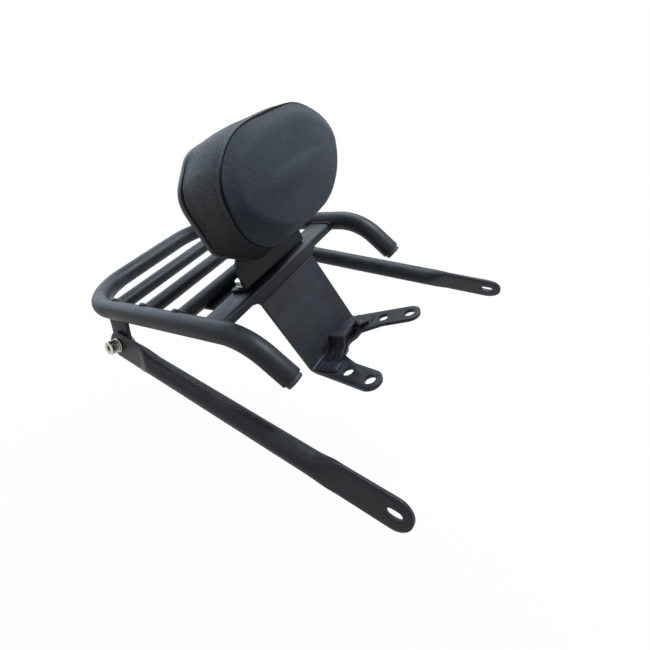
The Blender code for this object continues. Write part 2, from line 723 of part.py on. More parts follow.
def build_backrest_bracket(materials):
    """Folded plate: a foot on the cross angle and an upright behind the pad."""
    lean = radians(REST_LEAN)
    low = ANGLE_TOP_Z + SEAT_GAP
    top = Vector((REST_FRONT_Y + REST_TOP * sin(lean), low + REST_TOP * cos(lean)))
    path = [(top.x, top.y), (REST_FRONT_Y, low), (REST_FRONT_Y + REST_FOOT_DEPTH, low)]
    profile = strip_outline(path, REST_THICK, REST_FOLD_R)
    wide = REST_HALF + REST_FOOT_FLARE
    item = finish("backrest_bracket", across_deck(profile, wide), materials["coat"],
                  place_world(0, 0, 0))
    flare_start = (REST_HALF, REST_FRONT_Y + REST_THICK + 3)
    flare_end = (wide, REST_FRONT_Y + REST_FOOT_DEPTH - 4)
    for side in (LEFT, RIGHT):
        trim = [(REST_HALF, -2.0), (wide + 5, -2.0), (wide + 5, REST_TOP + 5),
                (REST_NECK_HALF - 12.0, REST_TOP + 5), (REST_NECK_HALF - 12.0, REST_TOP),
                (REST_NECK_HALF, REST_TOP - 12.0), (REST_NECK_HALF, REST_NECK_START),
                (REST_HALF, REST_SIDE_TOP)]
        cut(item, prism([(side * x, y) for x, y in trim], -REST_THICK - 1.5, 1.5), rest_frame())
        flare = [(REST_HALF, REST_FRONT_Y - 1), (wide + 5, REST_FRONT_Y - 1),
                 (wide + 5, flare_end[1]), flare_end, flare_start]
        cut(item, prism([(side * x, y) for x, y in flare], low - 2, low + REST_THICK + 2),
            place_world(0, 0, 0))
        cut(item, cylinder(REST_BOLT_DIA / 2 + SEAT_GAP, low - 5, low + 15, 24,
                           side * REST_BOLT_X, rest_bolt_y()), place_world(0, 0, 0))
        for height in PAD_SCREW_HEIGHTS:
            cut(item, cylinder(PAD_SCREW_DIA / 2 + SEAT_GAP, -10, 10, 24,
                               side * PAD_SCREW_X, height), rest_frame())


def rest_bolt_y():
    return REST_FRONT_Y + REST_FOLD_R + SEAT_GAP + REST_WASHER_DIA / 2


def build_rest_bolts(materials):
    """Hex bolts through the foot and the cross angle, with a nut below each."""
    low = ANGLE_TOP_Z + SEAT_GAP
    washer_seat = low + REST_THICK + SEAT_GAP
    head_seat = washer_seat + WASHER_THICK + SEAT_GAP
    nut_top = ANGLE_TOP_Z - ANGLE_THICK - SEAT_GAP
    hole = REST_BOLT_DIA + 2 * SEAT_GAP
    for side in (LEFT, RIGHT):
        label = SIDE_NAMES[side]
        x, y = side * REST_BOLT_X, rest_bolt_y()
        cut(bpy.data.objects["cross_angle"],
            cylinder(hole / 2, ANGLE_TOP_Z - 15, ANGLE_TOP_Z + 5, 24, x, y), place_world(0, 0, 0))
        finish(f"rest_washer_{label}", washer(REST_WASHER_DIA, hole, WASHER_THICK),
               materials["steel"], place_world(x, y, washer_seat))
        length = head_seat - nut_top + REST_NUT_HEIGHT + 3
        shank = [(0.0, -length), (REST_BOLT_DIA / 2 - 0.8, -length),
                 (REST_BOLT_DIA / 2, -length + 0.8), (REST_BOLT_DIA / 2, 0.0)]
        bolt = finish(f"rest_bolt_{label}",
                      revolve(shank + [(REST_BOLT_HEAD / 2 / cos(pi / 6), 0.0),
                                       (REST_BOLT_HEAD / 2 / cos(pi / 6), REST_BOLT_HEIGHT - 1.0),
                                       (REST_BOLT_HEAD / 2 - 0.4, REST_BOLT_HEIGHT),
                                       (0.0, REST_BOLT_HEIGHT)], 24),
                      materials["steel"], place_world(x, y, head_seat))
        cut(bolt, prism(hexagon(REST_BOLT_HEAD), -length - 1, REST_BOLT_HEIGHT + 1),
            operation="INTERSECT")
        nut = finish(f"rest_nut_{label}", prism(hexagon(REST_BOLT_HEAD, pi / 6), -REST_NUT_HEIGHT, 0.0),
                     materials["steel"], place_world(x, y, nut_top))
        cut(nut, cylinder(hole / 2, -REST_NUT_HEIGHT - 5, 5, 24))


def pad_outline(share, inset=0.0):
    """Outline of the pad between the shell (share 0) and the seam (share 1)."""
    wide, widest, top, chin, bottom = [low + (high - low) * share
                                       for low, high in zip(PAD_SHELL, PAD_SEAM)]
    radii = [low + (high - low) * share for low, high in zip(PAD_SHELL_RADII, PAD_SEAM_RADII)]
    half = [(PAD_TOP_HALF, top), (wide, widest), (wide - PAD_CHIN_IN, chin),
            (PAD_CHIN_HALF, bottom)]
    middle = (top + bottom) / 2
    share_x = 1 - inset / wide
    share_y = 1 - inset / ((top - bottom) / 2)
    moved = [(x * share_x, middle + (y - middle) * share_y, radius)
             for (x, y), radius in zip(half, radii)]
    return rounded_outline(moved + [(-x, y, radius) for x, y, radius in moved[::-1]])


def build_pad(materials):
    """Moulded back shell, recessed edge strip and the crowned cushion."""
    rest = rest_frame()
    back = SEAT_GAP
    shell_rings = []
    for inset, depth in ((2.5, back), (0.6, back + 1.2), (0.0, back + 3.0),
                         (0.0, back + SHELL_DEPTH)):
        shell_rings.append([(x, y, depth) for x, y in pad_outline(0.0, inset)])
    shell = finish("pad_shell", loft(shell_rings), materials["plastic"], rest)
    for side in (LEFT, RIGHT):
        for height in PAD_SCREW_HEIGHTS:
            cut(shell, cylinder(PAD_SCREW_DIA / 2 + SEAT_GAP, -5, PAD_SCREW_REACH + 1, 24,
                                side * PAD_SCREW_X, height), rest)
    edge_low = back + SHELL_DEPTH + SEAT_GAP
    edge = [[(x, y, depth) for x, y in pad_outline(0.0, EDGE_INSET)]
            for depth in (edge_low, edge_low + EDGE_DEPTH)]
    finish("pad_edge_strip", loft(edge), materials["rubber"], rest)
    cushion_low = edge_low + EDGE_DEPTH + SEAT_GAP
    rise = PAD_DEPTH - SEAM_DEPTH
    rings = [[(x, y, cushion_low) for x, y in pad_outline(0.0, 0.8)],
             [(x, y, cushion_low + 3) for x, y in pad_outline(0.0)]]
    for share in (0.5, 1.0):
        depth = cushion_low + 3 + (SEAM_DEPTH - cushion_low - 3) * share
        rings.append([(x, y, depth) for x, y in pad_outline(share)])
    for inset, share in ((3.0, 0.33), (8.5, 0.62), (17.0, 0.83), (31.0, 0.96), (47.0, 1.0)):
        rings.append([(x, y, SEAM_DEPTH + rise * share) for x, y in pad_outline(1.0, inset)])
    finish("pad_cushion", loft(rings), materials["leather"], rest, sharp=50.0)


def build_pad_screws(materials):
    """Pan-head screws from the back of the upright into the shell."""
    for side in (LEFT, RIGHT):
        for row, height in zip(("lower", "upper"), PAD_SCREW_HEIGHTS):
            seat = -REST_THICK - SEAT_GAP
            tip = PAD_SCREW_REACH
            head = PAD_SCREW_HEAD / 2
            profile = [(0.0, tip), (PAD_SCREW_DIA / 2 - 0.8, tip), (PAD_SCREW_DIA / 2, tip - 0.8),
                       (PAD_SCREW_DIA / 2, seat), (head, seat),
                       (head, seat - PAD_SCREW_HEAD_HEIGHT * 0.5),
                       (head * 0.72, seat - PAD_SCREW_HEAD_HEIGHT), (0.0, seat - PAD_SCREW_HEAD_HEIGHT)]
            placement = rest_frame() @ place_world(side * PAD_SCREW_X, height, 0)
            item = finish(f"pad_screw_{row}_{SIDE_NAMES[side]}", revolve(profile, 20),
                          materials["steel"], placement)
            cut(item, prism(hexagon(4.0), seat - PAD_SCREW_HEAD_HEIGHT - 2,
                            seat - PAD_SCREW_HEAD_HEIGHT + 1.8))


def main():
    clear_scene()
    make_root()
    materials = make_materials()
    build_loop_tube(materials)
    build_cross_tubes(materials)
    build_end_plugs(materials)
    build_cross_angle(materials)
    build_stiffener(materials)
    build_seat_bracket(materials)
    build_bridge(materials)
    build_ears(materials)
    build_stays(materials)
    build_clamp_sets(materials)
    build_backrest_bracket(materials)
    build_rest_bolts(materials)
    build_pad(materials)
    build_pad_screws(materials)


main()
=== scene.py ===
# %% [markdown]
# # A motorbike luggage rack with a padded backrest
# This lesson dresses a plain solid model as the real thing. The rack is bent and welded from steel
# tube and sheet under a satin black powder coat, with a leatherette pad on an upright plate.
# The solid model is loaded first and stays fixed, so each new piece is drawn straight in its place.

# %% Load the solid model
from math import acos, ceil, cos, pi, radians, sin, sqrt, tan

import bmesh
import bpy
import numpy as np
from mathutils import Matrix, Vector, noise


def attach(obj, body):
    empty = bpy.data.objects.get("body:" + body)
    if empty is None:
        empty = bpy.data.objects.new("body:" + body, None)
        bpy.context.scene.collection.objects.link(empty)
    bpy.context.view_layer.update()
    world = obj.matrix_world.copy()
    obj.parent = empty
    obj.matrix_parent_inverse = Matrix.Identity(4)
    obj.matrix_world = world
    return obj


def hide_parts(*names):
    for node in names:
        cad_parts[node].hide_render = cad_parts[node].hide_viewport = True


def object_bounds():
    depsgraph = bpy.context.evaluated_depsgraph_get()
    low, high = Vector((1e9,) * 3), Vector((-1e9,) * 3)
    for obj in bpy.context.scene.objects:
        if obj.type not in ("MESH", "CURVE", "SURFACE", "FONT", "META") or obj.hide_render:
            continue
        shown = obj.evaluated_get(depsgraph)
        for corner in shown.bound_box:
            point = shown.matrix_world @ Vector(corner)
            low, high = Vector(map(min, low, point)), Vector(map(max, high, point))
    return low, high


scene = bpy.context.scene
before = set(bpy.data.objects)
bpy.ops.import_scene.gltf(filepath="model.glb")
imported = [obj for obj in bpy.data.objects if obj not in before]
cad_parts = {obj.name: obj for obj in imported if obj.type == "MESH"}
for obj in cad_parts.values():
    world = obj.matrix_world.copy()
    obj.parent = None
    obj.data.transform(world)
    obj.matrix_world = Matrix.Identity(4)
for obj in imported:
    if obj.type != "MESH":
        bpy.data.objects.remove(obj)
cad_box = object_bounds()
print("solid model from", [round(v, 4) for v in cad_box[0]],
      "to", [round(v, 4) for v in cad_box[1]])

# %% [markdown]
# ## The rack's own measures
# A maker thinks of this rack from its deck: the plane through the middle of the tubes. All sizes
# below are millimetres from that plane, and one helper turns them into Blender's metres. The
# world's origin lies lower, under the fork that sits on the motorbike, so the helper adds that step.

# %% Deck measures
MM = 0.001
FORK_TO_DECK = Vector((0.0, 57.0, 119.0796))
LEFT, RIGHT = -1, 1
SIDES = {LEFT: "left", RIGHT: "right"}


def deck_point(x, y, z):
    """A point given in millimetres from the deck, as Blender metres."""
    return (Vector((x, y, z)) + FORK_TO_DECK) * MM


def deck_frame(origin, x_axis, y_axis, z_axis):
    """Placement for a piece drawn in millimetres along its own three axes."""
    turn = Matrix((x_axis, y_axis, z_axis)).transposed().to_4x4()
    return Matrix.Translation(deck_point(*origin)) @ turn


def shift(x, y, z):
    """A further move inside such a placement, in millimetres."""
    return Matrix.Translation(Vector((x, y, z)) * MM)


LEVEL = deck_frame((0, 0, 0), Vector((1, 0, 0)), Vector((0, 1, 0)), Vector((0, 0, 1)))
print("deck", FORK_TO_DECK.z, "mm above the fork's seat")

# %% [markdown]
# ## The camera
# The photograph was taken from the front left and from above, close to the rack, with a wide lens.
# The place, aim and lens come from a fit of the rack's own edges, so the camera is set as a matrix
# whose columns are its right, its up and its back.

# %% Camera
CAMERA_PLACE = Vector((-0.316194, -0.249226, 0.328755))
CAMERA_RIGHT = Vector((0.4898834, -0.8361743, -0.2466308))
CAMERA_UP = Vector((0.6174132, 0.1330415, 0.7753070))
CAMERA_LENS = 21.056



def put_in_scene(name, data):
    """A new object in the scene that carries the data."""
    thing = bpy.data.objects.new(name, data)
    scene.collection.objects.link(thing)
    return thing


camera_data = bpy.data.cameras.new("photo_camera")
camera_data.lens = CAMERA_LENS
camera_data.sensor_width = 36.0
camera_data.clip_start = 0.01
camera_data.clip_end = 200.0
camera = put_in_scene("photo_camera", camera_data)
camera_turn = Matrix((CAMERA_RIGHT, CAMERA_UP, CAMERA_RIGHT.cross(CAMERA_UP))).transposed().to_4x4()
camera.matrix_world = Matrix.Translation(CAMERA_PLACE) @ camera_turn
bpy.context.scene.camera = camera
print("camera", round(CAMERA_PLACE.length, 3), "m from the fork")

# %% [markdown]
# ## Helpers for nodes
# The sky, the ground and every finish are trees of nodes. One helper makes a node and fills its
# inputs: a value that is itself a socket is linked, and any other is set. Four short ones stand for
# the nodes that come back most. Written this way, a tree reads from its first node to its last.


# %% Node helpers
def fill(tree, node, values):
    """Link each value that is a socket to the node's input, and set any other."""
    for key, value in dict(values).items():
        if isinstance(value, bpy.types.NodeSocket):
            tree.links.new(value, node.inputs[key])
        else:
            node.inputs[key].default_value = value
    return node


def add_node(tree, kind, values=(), **settings):
    """A node with its settings, its inputs filled by name or number."""
    node = tree.nodes.new(kind)
    for key, value in settings.items():
        setattr(node, key, value)
    return fill(tree, node, values)


def worked_out(tree, operation, *values):
    """What a Math node makes of its values."""
    return add_node(tree, "ShaderNodeMath", dict(enumerate(values)), operation=operation).outputs[0]


def stretched(tree, value, low, high, **settings):
    """A value whose range from low to high becomes that from zero to one."""
    limits = {"Value": value, "From Min": low, "From Max": high}
    return add_node(tree, "ShaderNodeMapRange", limits, **settings).outputs["Result"]


def blended(tree, share, first, second):
    """A colour on the way from the first to the second."""
    colors = {"Factor": share, "A": first, "B": second}
    return add_node(tree, "ShaderNodeMix", colors, data_type="RGBA").outputs["Result"]


def object_place(tree):
    """The place of a point in its piece's own space."""
    return add_node(tree, "ShaderNodeTexCoord").outputs["Object"]


# %% [markdown]
# ## Light and ground
# Black parts show only what they reflect, so their shape is told by soft, wide lights. A wide panel
# behind the rack draws pale bluish bands along the tubes. One at the right and one at the right
# front leave the left flanks dark, which rounds the pad. Lamps all round would flatten it.
# The ground and the sky turn white for the camera, for mirrors and for glass by Light Path, while
# the ground keeps a faint share of the rack's shadow near it and fades to full white further out.
# It lies below the lowest place that the tips of the stays reach, so it cuts no pose.

# %% Lights
scene.view_settings.view_transform = "Standard"
MIDDLE = (cad_box[0] + cad_box[1]) / 2


def add_panel(name, place, width, height, power, color):
    """A rectangular soft light that faces the middle of the rack."""
    data = bpy.data.lights.new(name, "AREA")
    data.shape = "RECTANGLE"
    data.size = width
    data.size_y = height
    data.energy = power
    data.color = color
    aim = (MIDDLE - Vector(place)).to_track_quat("-Z", "Y")
    put_in_scene(name, data).matrix_world = Matrix.LocRotScale(Vector(place), aim, None)
    print(name, power, "W")


add_panel("rear_panel", (0.30, 1.30, 0.80), 1.5, 0.9, 11.0, (0.60, 0.79, 1.0))
add_panel("right_panel", (0.90, 0.35, 1.05), 0.8, 0.7, 12.0, (0.78, 0.89, 1.0))
add_panel("front_panel", (0.62, -0.72, 1.22), 0.8, 0.6, 32.0, (0.80, 0.90, 1.0))


# %% Sky
def seen_directly(tree):
    """One for rays from the camera, and for those that a mirror or glass passes on."""
    paths = add_node(tree, "ShaderNodeLightPath").outputs
    so_far = paths["Is Camera Ray"]
    for kind in ("Is Glossy Ray", "Is Transmission Ray"):
        so_far = worked_out(tree, "MAXIMUM", so_far, paths[kind])
    return so_far


SKY_COLOR = (0.84, 0.91, 1.0, 1.0)
SKY_STRENGTH = 0.15
WHITE = (1.0, 1.0, 1.0, 1.0)

world = bpy.data.worlds.new("studio_sky")
scene.world = world
world.use_nodes = True
sky = world.node_tree
sky.nodes.clear()
sky_glow = add_node(sky, "ShaderNodeBackground", {"Color": SKY_COLOR, "Strength": SKY_STRENGTH})
sky_white = add_node(sky, "ShaderNodeBackground", {"Color": WHITE, "Strength": 1.0})
sky_mix = add_node(sky, "ShaderNodeMixShader", {"Fac": seen_directly(sky), 1: sky_glow.outputs[0],
                                                2: sky_white.outputs[0]})
add_node(sky, "ShaderNodeOutputWorld", {"Surface": sky_mix.outputs[0]})
print("sky light", SKY_STRENGTH)

# %% Ground
STAYS_REACH_Z = -0.3174
GROUND_Z = min(cad_box[0].z, STAYS_REACH_Z) - 0.001
GROUND_REACH = 30.0
FADE_FROM, FADE_TO = 0.35, 1.3
NEAR_WHITE = 0.94


def make_ground_material():
    """White to the camera, plain matte paper to everything else."""
    material = bpy.data.materials.new("white_paper")
    material.use_nodes = True
    tree = material.node_tree
    tree.nodes.clear()
    away = add_node(tree, "ShaderNodeVectorMath", {0: object_place(tree)}, operation="LENGTH")
    fade = add_node(tree, "ShaderNodeMapRange", {
        "Value": away.outputs["Value"], "From Min": FADE_FROM, "From Max": FADE_TO,
        "To Min": NEAR_WHITE, "To Max": 1.0})
    share = worked_out(tree, "MULTIPLY", seen_directly(tree), fade.outputs["Result"])
    paper = add_node(tree, "ShaderNodeBsdfDiffuse", {"Color": (0.80, 0.80, 0.80, 1.0)})
    glow = add_node(tree, "ShaderNodeEmission", {"Strength": 1.0})
    mix = add_node(tree, "ShaderNodeMixShader", {"Fac": share, 1: paper.outputs[0],
                                                 2: glow.outputs[0]})
    add_node(tree, "ShaderNodeOutputMaterial", {"Surface": mix.outputs[0]})
    return material


ground_mesh = bpy.data.meshes.new("ground")
corners = [(x * GROUND_REACH, y * GROUND_REACH, GROUND_Z)
           for x, y in ((-1, -1), (1, -1), (1, 1), (-1, 1))]
ground_mesh.from_pydata(corners, [], [(0, 1, 2, 3)])
ground_mesh.materials.append(make_ground_material())
ground = put_in_scene("ground", ground_mesh)
print("ground at", round(GROUND_Z, 4))

# %% [markdown]
# ## Shared effects
# Three effects come back in several finishes, so each is a node group with named sockets. The first
# makes the fine speckle of a sprayed or moulded surface as a height and a small change of colour.
# The second makes leather grain: cells of uneven size with creases between them. The third lays
# thin dust over a colour. All work from object space, so no unwrapping is needed.

# %% A new node group
FLOAT = "NodeSocketFloat"
COLOR = "NodeSocketColor"


def new_group(name, ins, outs):
    """A shader node group with its sockets, and what its input node gives."""
    group = bpy.data.node_groups.new(name, "ShaderNodeTree")
    for label, kind, value in ins:
        socket = group.interface.new_socket(label, in_out="INPUT", socket_type=kind)
        socket.default_value = value
    for label, kind in outs:
        group.interface.new_socket(label, in_out="OUTPUT", socket_type=kind)
    return group, group.nodes.new("NodeGroupInput").outputs


# %% Speckle group
def make_speckle():
    """Fine specks on a wider unevenness, as height, tone and roughness."""
    group, given = new_group(
        "fine_speckle",
        [("Scale", FLOAT, 1800.0), ("Unevenness", FLOAT, 40.0),
         ("Dark", COLOR, (0.02, 0.02, 0.02, 1)), ("Light", COLOR, (0.04, 0.04, 0.04, 1)),
         ("Roughness", FLOAT, 0.4), ("Spread", FLOAT, 0.1)],
        [("Color", COLOR), ("Roughness", FLOAT), ("Height", FLOAT)])
    where = object_place(group)
    fine = add_node(group, "ShaderNodeTexNoise", {"Vector": where, "Scale": given["Scale"],
                                                  "Detail": 3.0, "Roughness": 0.6}).outputs["Fac"]
    wide = add_node(group, "ShaderNodeTexNoise", {"Vector": where, "Scale": given["Unevenness"],
                                                  "Detail": 2.0, "Roughness": 0.5}).outputs["Fac"]
    even = stretched(group, worked_out(group, "MULTIPLY_ADD", fine, 0.55, wide), 0.55, 1.0)
    rough = worked_out(group, "MULTIPLY_ADD", even, given["Spread"], given["Roughness"])
    add_node(group, "NodeGroupOutput", {
        "Color": blended(group, even, given["Dark"], given["Light"]),
        "Roughness": rough, "Height": fine})
    return group


speckle = make_speckle()
print("node group", speckle.name)


# %% Leather grain group
def make_grain():
    """Cells of uneven size with creases between them, and a finer grain on top."""
    group, given = new_group(
        "leather_grain",
        [("Scale", FLOAT, 900.0), ("Crease", FLOAT, 0.35), ("Warp", FLOAT, 0.0008)],
        [("Height", FLOAT), ("Crease", FLOAT)])
    where = object_place(group)
    stir = add_node(group, "ShaderNodeTexNoise", {"Vector": where, "Scale": 420.0, "Detail": 2.0})
    centred = add_node(group, "ShaderNodeVectorMath",
                       {0: stir.outputs["Color"], 1: (0.5, 0.5, 0.5)}, operation="SUBTRACT")
    push = add_node(group, "ShaderNodeVectorMath",
                    {0: centred.outputs["Vector"], "Scale": given["Warp"]}, operation="SCALE")
    moved = add_node(group, "ShaderNodeVectorMath",
                     {0: where, 1: push.outputs["Vector"]}, operation="ADD")
    cells = add_node(group, "ShaderNodeTexVoronoi",
                     {"Vector": moved.outputs["Vector"], "Scale": given["Scale"]},
                     feature="DISTANCE_TO_EDGE")
    rise = stretched(group, cells.outputs["Distance"], 0.0, given["Crease"],
                     interpolation_type="SMOOTHSTEP")
    fine = add_node(group, "ShaderNodeTexNoise", {"Vector": where, "Scale": 3200.0, "Detail": 2.0})
    add_node(group, "NodeGroupOutput", {
        "Height": worked_out(group, "MULTIPLY_ADD", fine.outputs["Fac"], 0.25, rise),
        "Crease": worked_out(group, "SUBTRACT", 1.0, rise)})
    return group


grain = make_grain()
print("node group", grain.name)


# %% Dust group
def make_dust():
    """Thin dust in patches, more of it where the surface faces up."""
    group, given = new_group(
        "thin_dust",
        [("Color", COLOR, (0.02, 0.02, 0.02, 1)), ("Roughness", FLOAT, 0.4),
         ("Dust", COLOR, (0.30, 0.29, 0.27, 1)), ("Amount", FLOAT, 0.06)],
        [("Color", COLOR), ("Roughness", FLOAT)])
    facing = add_node(group, "ShaderNodeNewGeometry").outputs["Normal"]
    up = add_node(group, "ShaderNodeSeparateXYZ", {0: facing}).outputs["Z"]
    patch = add_node(group, "ShaderNodeTexNoise", {
        "Vector": object_place(group), "Scale": 55.0, "Detail": 6.0, "Roughness": 0.7})
    lies = stretched(group, up, 0.2, 1.0)
    thin = stretched(group, patch.outputs["Fac"], 0.42, 0.75)
    share = worked_out(group, "MULTIPLY", worked_out(group, "MULTIPLY", lies, thin),
                       given["Amount"])
    add_node(group, "NodeGroupOutput", {
        "Color": blended(group, share, given["Color"], given["Dust"]),
        "Roughness": worked_out(group, "ADD", share, given["Roughness"])})
    return group


dust = make_dust()
print("node group", dust.name)

# %% [markdown]
# ## Finishes
# A powder coat is a thin skin of melted plastic. It is almost black, a little blue, half glossy and
# covered with a very fine orange peel. Leatherette has a real grain on its side band and a finer,
# smoother one on its stretched front. The bolts are bright plated steel with a fine speckle.


# %% Material helpers
def start_material(name, roughness=0.5, metallic=0.0, specular=0.5):
    """A new material with its Principled shader."""
    material = bpy.data.materials.new(name)
    material.use_nodes = True
    tree = material.node_tree
    shader = fill(tree, tree.nodes["Principled BSDF"], {
        "Roughness": roughness, "Metallic": metallic, "Specular IOR Level": specular})
    return material, tree, shader


def place_group(tree, group, values):
    return add_node(tree, "ShaderNodeGroup", values, node_tree=group).outputs


def add_bump(tree, shader, height, strength, distance):
    """A Bump node on the shader's normal."""
    bump = add_node(tree, "ShaderNodeBump", {"Height": height, "Strength": strength,
                                             "Distance": distance})
    fill(tree, shader, {"Normal": bump.outputs["Normal"]})


def speckled_material(name, dark, light, roughness, spread, scale, bump, dust_amount, specular=0.5):
    """Speckle under thin dust, which suits coat, plastic and rubber alike."""
    material, tree, shader = start_material(name, roughness, specular=specular)
    speck = place_group(tree, speckle, {
        "Scale": scale, "Unevenness": 40.0, "Dark": (*dark, 1), "Light": (*light, 1),
        "Roughness": roughness, "Spread": spread})
    film = place_group(tree, dust, {"Color": speck["Color"], "Roughness": speck["Roughness"],
                                    "Amount": dust_amount})
    fill(tree, shader, {"Base Color": film["Color"], "Roughness": film["Roughness"]})
    add_bump(tree, shader, speck["Height"], bump, 0.0001)
    print("finish", name)
    return material


# %% Coat, plastic and rubber
satin_coat = speckled_material(
    "satin_black_coat", dark=(0.006, 0.0068, 0.0088), light=(0.015, 0.017, 0.022),
    roughness=0.40, spread=0.10, scale=1700.0, bump=0.12, dust_amount=0.05, specular=0.24)
weld_coat = speckled_material(
    "coated_weld", dark=(0.006, 0.0065, 0.008), light=(0.018, 0.019, 0.022),
    roughness=0.42, spread=0.10, scale=1100.0, bump=0.16, dust_amount=0.05, specular=0.24)
shell_plastic = speckled_material(
    "moulded_shell", dark=(0.014, 0.015, 0.017), light=(0.024, 0.026, 0.030),
    roughness=0.46, spread=0.10, scale=2600.0, bump=0.30, dust_amount=0.04)
plug_plastic = speckled_material(
    "plug_plastic", dark=(0.012, 0.012, 0.013), light=(0.022, 0.022, 0.023),
    roughness=0.50, spread=0.12, scale=2200.0, bump=0.30, dust_amount=0.05)
# Near-black matte strip in the pad's tuck groove: a real edge strip, whose colour is also painted shade
# of the gap where the cover is tucked in.
strip_rubber_and_shade = speckled_material(
    "edge_rubber_and_painted_shade", dark=(0.004, 0.004, 0.004), light=(0.009, 0.009, 0.009),
    roughness=0.70, spread=0.10, scale=2200.0, bump=0.20, dust_amount=0.0, specular=0.2)

# %% Plated steel
plated_steel, steel_tree, steel_shader = start_material("plated_steel", 0.26, 1.0)
steel_speck = place_group(steel_tree, speckle, {
    "Scale": 900.0, "Unevenness": 260.0, "Dark": (0.36, 0.35, 0.32, 1),
    "Light": (0.66, 0.65, 0.61, 1), "Roughness": 0.20, "Spread": 0.16})
fill(steel_tree, steel_shader, {"Base Color": steel_speck["Color"],
                                "Roughness": steel_speck["Roughness"]})
add_bump(steel_tree, steel_shader, steel_speck["Height"], 0.15, 0.00005)
print("finish", plated_steel.name)


# %% Leatherette
def leather_material(name, scale, crease, strength, distance, dark, light, roughness, shine):
    """Grain in the normal, darker in its creases, glossier on its tops."""
    material, tree, shader = start_material(name, roughness, 0.0, shine)
    hide = place_group(tree, grain, {"Scale": scale, "Crease": crease})
    tone = place_group(tree, speckle, {
        "Scale": 600.0, "Unevenness": 22.0, "Dark": (*dark, 1), "Light": (*light, 1),
        "Roughness": roughness, "Spread": 0.08})
    deep = (dark[0] * 0.5, dark[1] * 0.5, dark[2] * 0.5, 1)
    fill(tree, shader, {
        "Base Color": blended(tree, hide["Crease"], tone["Color"], deep),
        "Roughness": worked_out(tree, "MULTIPLY_ADD", hide["Crease"], 0.18, tone["Roughness"]),
        "Sheen Weight": 0.08, "Sheen Roughness": 0.4})
    add_bump(tree, shader, hide["Height"], strength, distance)
    print("finish", name)
    return material


band_leather = leather_material(
    "grained_band", scale=560.0, crease=0.32, strength=0.90, distance=0.00090,
    dark=(0.003, 0.0036, 0.005), light=(0.009, 0.0105, 0.014), roughness=0.36, shine=0.14)
# A near-black copy of the leather for the rows on both sides of the seam: painted shade of the seam's
# valley, which draws it as a dark line.
seam_shade_leather = leather_material(
    "painted_seam_shade", scale=640.0, crease=0.30, strength=0.40, distance=0.00020,
    dark=(0.0015, 0.0015, 0.002), light=(0.004, 0.004, 0.005), roughness=0.60, shine=0.05)
front_leather = leather_material(
    "stretched_front", scale=1100.0, crease=0.22, strength=0.28, distance=0.00012,
    dark=(0.036, 0.039, 0.046), light=(0.056, 0.060, 0.071), roughness=0.50, shine=0.07)

# %% Sewing thread
thread, thread_tree, thread_shader = start_material("sewing_thread", 0.6, 0.0, 0.05)
thread_twist = add_node(thread_tree, "ShaderNodeTexWave",
                        {"Vector": object_place(thread_tree), "Scale": 900.0, "Distortion": 1.5},
                        wave_type="BANDS", bands_direction="DIAGONAL").outputs["Fac"]
thread_tone = blended(thread_tree, thread_twist, (0.001, 0.001, 0.0015, 1),
                      (0.004, 0.004, 0.005, 1))
fill(thread_tree, thread_shader, {"Base Color": thread_tone})
add_bump(thread_tree, thread_shader, thread_twist, 0.4, 0.0001)
print("finish", thread.name)

# %% [markdown]
# ## Making a piece
# Every piece is drawn in millimetres as a bmesh, then placed, smoothed, given its finish and tied
# to the body of the solid model that carries it. Where it stands for a solid, it also hides it.


# %% Piece helper
def as_mesh(builder, name):
    """Turn a drawn bmesh into a mesh and free it."""
    mesh = bpy.data.meshes.new(name)
    builder.to_mesh(mesh)
    builder.free()
    return mesh


def add_piece(name, builder, placement, material, body="rack", stands_for=(), sharp=40.0):
    """Place a drawn piece in the model and tie it to its body."""
    bmesh.ops.recalc_face_normals(builder, faces=builder.faces)
    mesh = as_mesh(builder, name)
    mesh.transform(placement @ Matrix.Scale(MM, 4))
    mesh.shade_smooth()
    mesh.set_sharp_from_angle(angle=radians(sharp))
    for finish in material if isinstance(material, (list, tuple)) else [material]:
        mesh.materials.append(finish)
    piece = put_in_scene(name, mesh)
    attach(piece, body)
    if stands_for:
        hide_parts(*stands_for)
    return piece


# %% Rings and skins
def polar(radius, z, k, sides):
    """Place k of so many sides on a ring about Z."""
    angle = 2 * pi * k / sides
    return (radius * cos(angle), radius * sin(angle), z)


def ring_round(point, normal, across, radius, sides):
    """A round ring about a point, in the plane of two directions."""
    return [tuple(point + (normal * cos(2 * pi * k / sides) + across * sin(2 * pi * k / sides))
                  * radius) for k in range(sides)]


def join_rows(builder, near, far):
    """Faces between two rings of points, either of which may be a single point."""
    count = max(len(near), len(far))
    for k in range(count):
        follow = (k + 1) % count
        if len(near) == 1:
            builder.faces.new((near[0], far[follow], far[k]))
        elif len(far) == 1:
            builder.faces.new((near[k], near[follow], far[0]))
        else:
            builder.faces.new((near[k], near[follow], far[follow], far[k]))


def skin(rings, ends="capped"):
    """Skin a row of rings. Its ends are capped, joined to each other or left open."""
    builder = bmesh.new()
    rows = [[builder.verts.new(point) for point in ring] for ring in rings]
    for near, far in zip(rows, rows[1:]):
        join_rows(builder, near, far)
    if ends == "capped":
        builder.faces.new(rows[0][::-1])
        builder.faces.new(rows[-1])
    elif ends == "joined":
        join_rows(builder, rows[-1], rows[0])
    return builder


def turned(profile, sides=64):
    """Turn (radius, height) points about Z. A zero radius closes an end, else the ring closes."""
    rings = [[polar(radius, height, k, sides) for k in range(sides if radius else 1)]
             for radius, height in profile]
    return skin(rings, "joined" if profile[0][0] else "open")


# %% [markdown]
# ## The bent tube
# One tube forms the rear run, both sides and the two horns that turn down at the front. A mandrel
# bender leaves true arcs, so its centreline is a row of points on straight lines and arcs, and a
# round section is carried along it without twist. The cut rims are rounded over a little.

